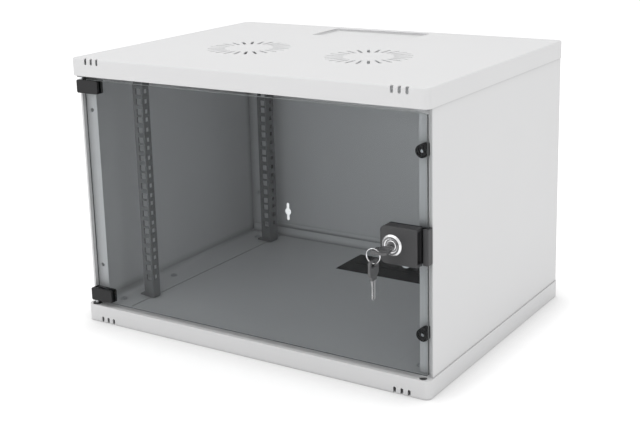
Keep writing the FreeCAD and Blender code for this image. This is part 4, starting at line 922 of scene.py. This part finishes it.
class CABINET_OT_key_ring(bpy.types.Operator):
    """Split ring of oval wire, nearly two turns"""
    bl_idname = "cabinet.key_ring"
    bl_label = "Split ring"

    def execute(self, context):
        low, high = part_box("key_ring")
        middle = (low + high) / 2
        tall = high.y - low.y
        outer = (high.x - low.x) / 2
        turns = context.scene.cabinet_sizes.ring_turns
        steps = round(turns * RING_STEPS)
        shape = bmesh.new()
        loops = []
        for step in range(steps + 1):
            share = step / steps
            angle = 2 * math.pi * turns * share + RING_START
            slide = tall * RING_SLIDE * math.tanh(RING_SUDDEN * (share - 0.5))
            loop = []
            for side in range(WIRE_SIDES):
                turn = 2 * math.pi * side / WIRE_SIDES
                out = outer - tall * WIRE_INSET + math.cos(turn) * tall * WIRE_ACROSS
                rise = slide + math.sin(turn) * tall * WIRE_ALONG
                loop.append(shape.verts.new(middle + Vector(
                    (out * math.cos(angle), rise, out * math.sin(angle)))))
            loops.append(loop)
        skinned(shape, loops)
        piece = add_piece("key_ring_finished", mesh_of(shape, "key_ring_finished"))
        piece.data.shade_smooth()
        stand_in(piece, "key_ring")
        return {"FINISHED"}


class CABINET_OT_bumpers(bpy.types.Operator):
    """Rubber door bumpers, each with metal at the bottom of its hollow"""
    bl_idname = "cabinet.bumpers"
    bl_label = "Door bumpers"

    def execute(self, context):
        sizes = context.scene.cabinet_sizes
        shape = bmesh.new()
        for low, high in solids_of("door_bumpers"):
            middle = (low + high) / 2
            radius = (high.x - low.x) / 2
            stem = sizes.bumper_stem / 2
            back = high.y - sizes.bumper_tail
            profile = [(radius * share, low.y + depth * MM) for share, depth in BUMPER_FRONT]
            profile += [(radius, back), (stem, back), (stem, high.y)]
            turned(shape, middle, profile)
        piece = add_piece("door_bumpers_finished", mesh_of(shape, "door_bumpers_finished"))
        piece.data.shade_smooth()
        piece.data.set_sharp_from_angle(angle=SMOOTH_MADE)
        piece.data.materials.append(finish_for("black_rubber"))
        piece.data.materials.append(finish_for("zinc_steel"))
        for face in piece.data.polygons:
            face.material_index = int(len(face.vertices) > 4 and face.normal.y < 0)
        stand_in(piece, "door_bumpers")
        return {"FINISHED"}


def softbox(name, place, aim, size, watts):
    """A large area light that looks at a point."""
    lamp = bpy.data.lights.new(name, "AREA")
    lamp.shape = "RECTANGLE"
    lamp.size, lamp.size_y = size
    lamp.energy = watts
    holder = bpy.data.objects.new(name, lamp)
    holder.location = place
    holder.rotation_euler = (Vector(aim) - Vector(place)).to_track_quat("-Z", "Y").to_euler()
    bpy.context.scene.collection.objects.link(holder)


def white_to_see(nodes, links, shader_output, lit, seen):
    """Mix a surface that lights with one that the camera sees, also through glass."""
    rays = nodes.new("ShaderNodeLightPath")
    any_ray = rays.outputs["Is Camera Ray"]
    for kind in ("Is Glossy Ray", "Is Transmission Ray"):
        add = nodes.new("ShaderNodeMath")
        add.operation = "MAXIMUM"
        links.new(any_ray, add.inputs[0])
        links.new(rays.outputs[kind], add.inputs[1])
        any_ray = add.outputs["Value"]
    mix = nodes.new("ShaderNodeMixShader")
    links.new(any_ray, mix.inputs["Fac"])
    links.new(lit, mix.inputs[1])
    links.new(seen, mix.inputs[2])
    links.new(mix.outputs["Shader"], shader_output)


class CABINET_OT_stage(bpy.types.Operator):
    """Floor, room light, softboxes and camera"""
    bl_idname = "cabinet.stage"
    bl_label = "Stage"

    def execute(self, context):
        studio = context.scene.cabinet_studio
        self.floor(context.scene.cabinet_colours.floor)
        self.room(studio)
        middle = (CAD_BOX[0] + CAD_BOX[1]) / 2
        for name, (place, size, watts) in SOFTBOXES.items():
            softbox(name, middle + Vector(place), middle, size, getattr(studio, watts))
        self.camera(context, studio)
        return {"FINISHED"}

    def floor(self, tint):
        """Floor with a painted shadow near the pieces, which fades into the white room."""
        shape = bmesh.new()
        shape.faces.new([shape.verts.new((x * FLOOR_REACH, y * FLOOR_REACH, CAD_BOX[0].z))
                         for x, y in ((-1, -1), (1, -1), (1, 1), (-1, 1))])
        piece = add_piece("studio_floor", mesh_of(shape, "studio_floor"))
        material, nodes, links, shader, place = new_material("Studio floor", tint,
                                                             roughness=0.9)
        shader.inputs["Specular IOR Level"].default_value = 0.0
        tone = nodes.new("ShaderNodeRGB")
        tone.outputs["Color"].default_value = (*tint, 1)
        # painted shadow: the floor's colour darkens to black near the pieces
        shade = painted_shade_in_corners(nodes, links, tone.outputs["Color"], FLOOR_SHADE, least=0.0)
        links.new(shade, shader.inputs["Base Color"])
        # glow that whitens the floor, weaker near the middle so that the painted shadow stays
        # there
        lift = nodes.new("ShaderNodeEmission")
        lift.inputs["Color"].default_value = WHITE
        away = nodes.new("ShaderNodeVectorMath")
        away.operation = "LENGTH"
        links.new(place, away.inputs[0])
        links.new(ranged(nodes, links, away.outputs["Value"], FLOOR_GLOW),
                  lift.inputs["Strength"])
        both = nodes.new("ShaderNodeAddShader")
        links.new(shader.outputs["BSDF"], both.inputs[0])
        links.new(lift.outputs["Emission"], both.inputs[1])
        white_to_see(nodes, links, nodes["Material Output"].inputs["Surface"],
                     shader.outputs["BSDF"], both.outputs["Shader"])
        piece.data.materials.append(material)

    def room(self, studio):
        """Even light from all round, and plain white behind everything."""
        world = bpy.data.worlds.new("Room")
        world.use_nodes = True
        nodes, links = world.node_tree.nodes, world.node_tree.links
        lit = nodes["Background"]
        lit.inputs["Color"].default_value = WHITE
        lit.inputs["Strength"].default_value = studio.sky
        seen = nodes.new("ShaderNodeBackground")
        seen.inputs["Color"].default_value = WHITE
        seen.inputs["Strength"].default_value = 1.0
        white_to_see(nodes, links, nodes["World Output"].inputs["Surface"],
                     lit.outputs["Background"], seen.outputs["Background"])
        bpy.context.scene.world = world

    def camera(self, context, studio):
        """Camera that stands and turns as the properties say."""
        lens = bpy.data.cameras.new("Camera")
        lens.lens = studio.lens
        lens.shift_y = studio.rise
        camera = bpy.data.objects.new("Camera", lens)
        turn = (Matrix.Rotation(studio.azimuth, 4, "Z")
                @ Matrix.Rotation(math.pi / 2 - studio.elevation, 4, "X")
                @ Matrix.Rotation(studio.roll, 4, "Z"))
        camera.matrix_world = Matrix.Translation(studio.camera_place) @ turn
        context.scene.collection.objects.link(camera)
        context.scene.camera = camera
        context.scene.view_settings.view_transform = "Standard"


OPERATORS = (CABINET_OT_sheet_metal, CABINET_OT_rails, CABINET_OT_cable_seal,
             CABINET_OT_screws, CABINET_OT_nuts, CABINET_OT_door_glass, CABINET_OT_hinges,
             CABINET_OT_lock_clamp, CABINET_OT_lock, CABINET_OT_keys, CABINET_OT_key_ring,
             CABINET_OT_bumpers, CABINET_OT_stage)


class CABINET_PT_panel(bpy.types.Panel):
    """Buttons and values in the sidebar"""
    bl_label = "Network cabinet"
    bl_space_type = "VIEW_3D"
    bl_region_type = "UI"
    bl_category = "Cabinet"

    def draw(self, context):
        for group in (context.scene.cabinet_sizes, context.scene.cabinet_colours,
                      context.scene.cabinet_studio):
            box = self.layout.box()
            for name in group.bl_rna.properties.keys():
                if name not in ("rna_type", "name"):
                    box.prop(group, name)
        for operator in OPERATORS:
            self.layout.operator(operator.bl_idname)


GROUPS = {"cabinet_sizes": CabinetSizes, "cabinet_colours": CabinetColours,
          "cabinet_studio": CabinetStudio}


def register():
    for made in (*GROUPS.values(), *OPERATORS, CABINET_PT_panel):
        bpy.utils.register_class(made)
    for name, group in GROUPS.items():
        setattr(bpy.types.Scene, name, bpy.props.PointerProperty(type=group))


def unregister():
    for name in GROUPS:
        delattr(bpy.types.Scene, name)
    for made in reversed((*GROUPS.values(), *OPERATORS, CABINET_PT_panel)):
        bpy.utils.unregister_class(made)


def main():
    """Build every piece in order."""
    register()
    for operator in OPERATORS:
        group, name = operator.bl_idname.split(".")
        getattr(getattr(bpy.ops, group), name)()


if __name__ == "__main__":
    main()
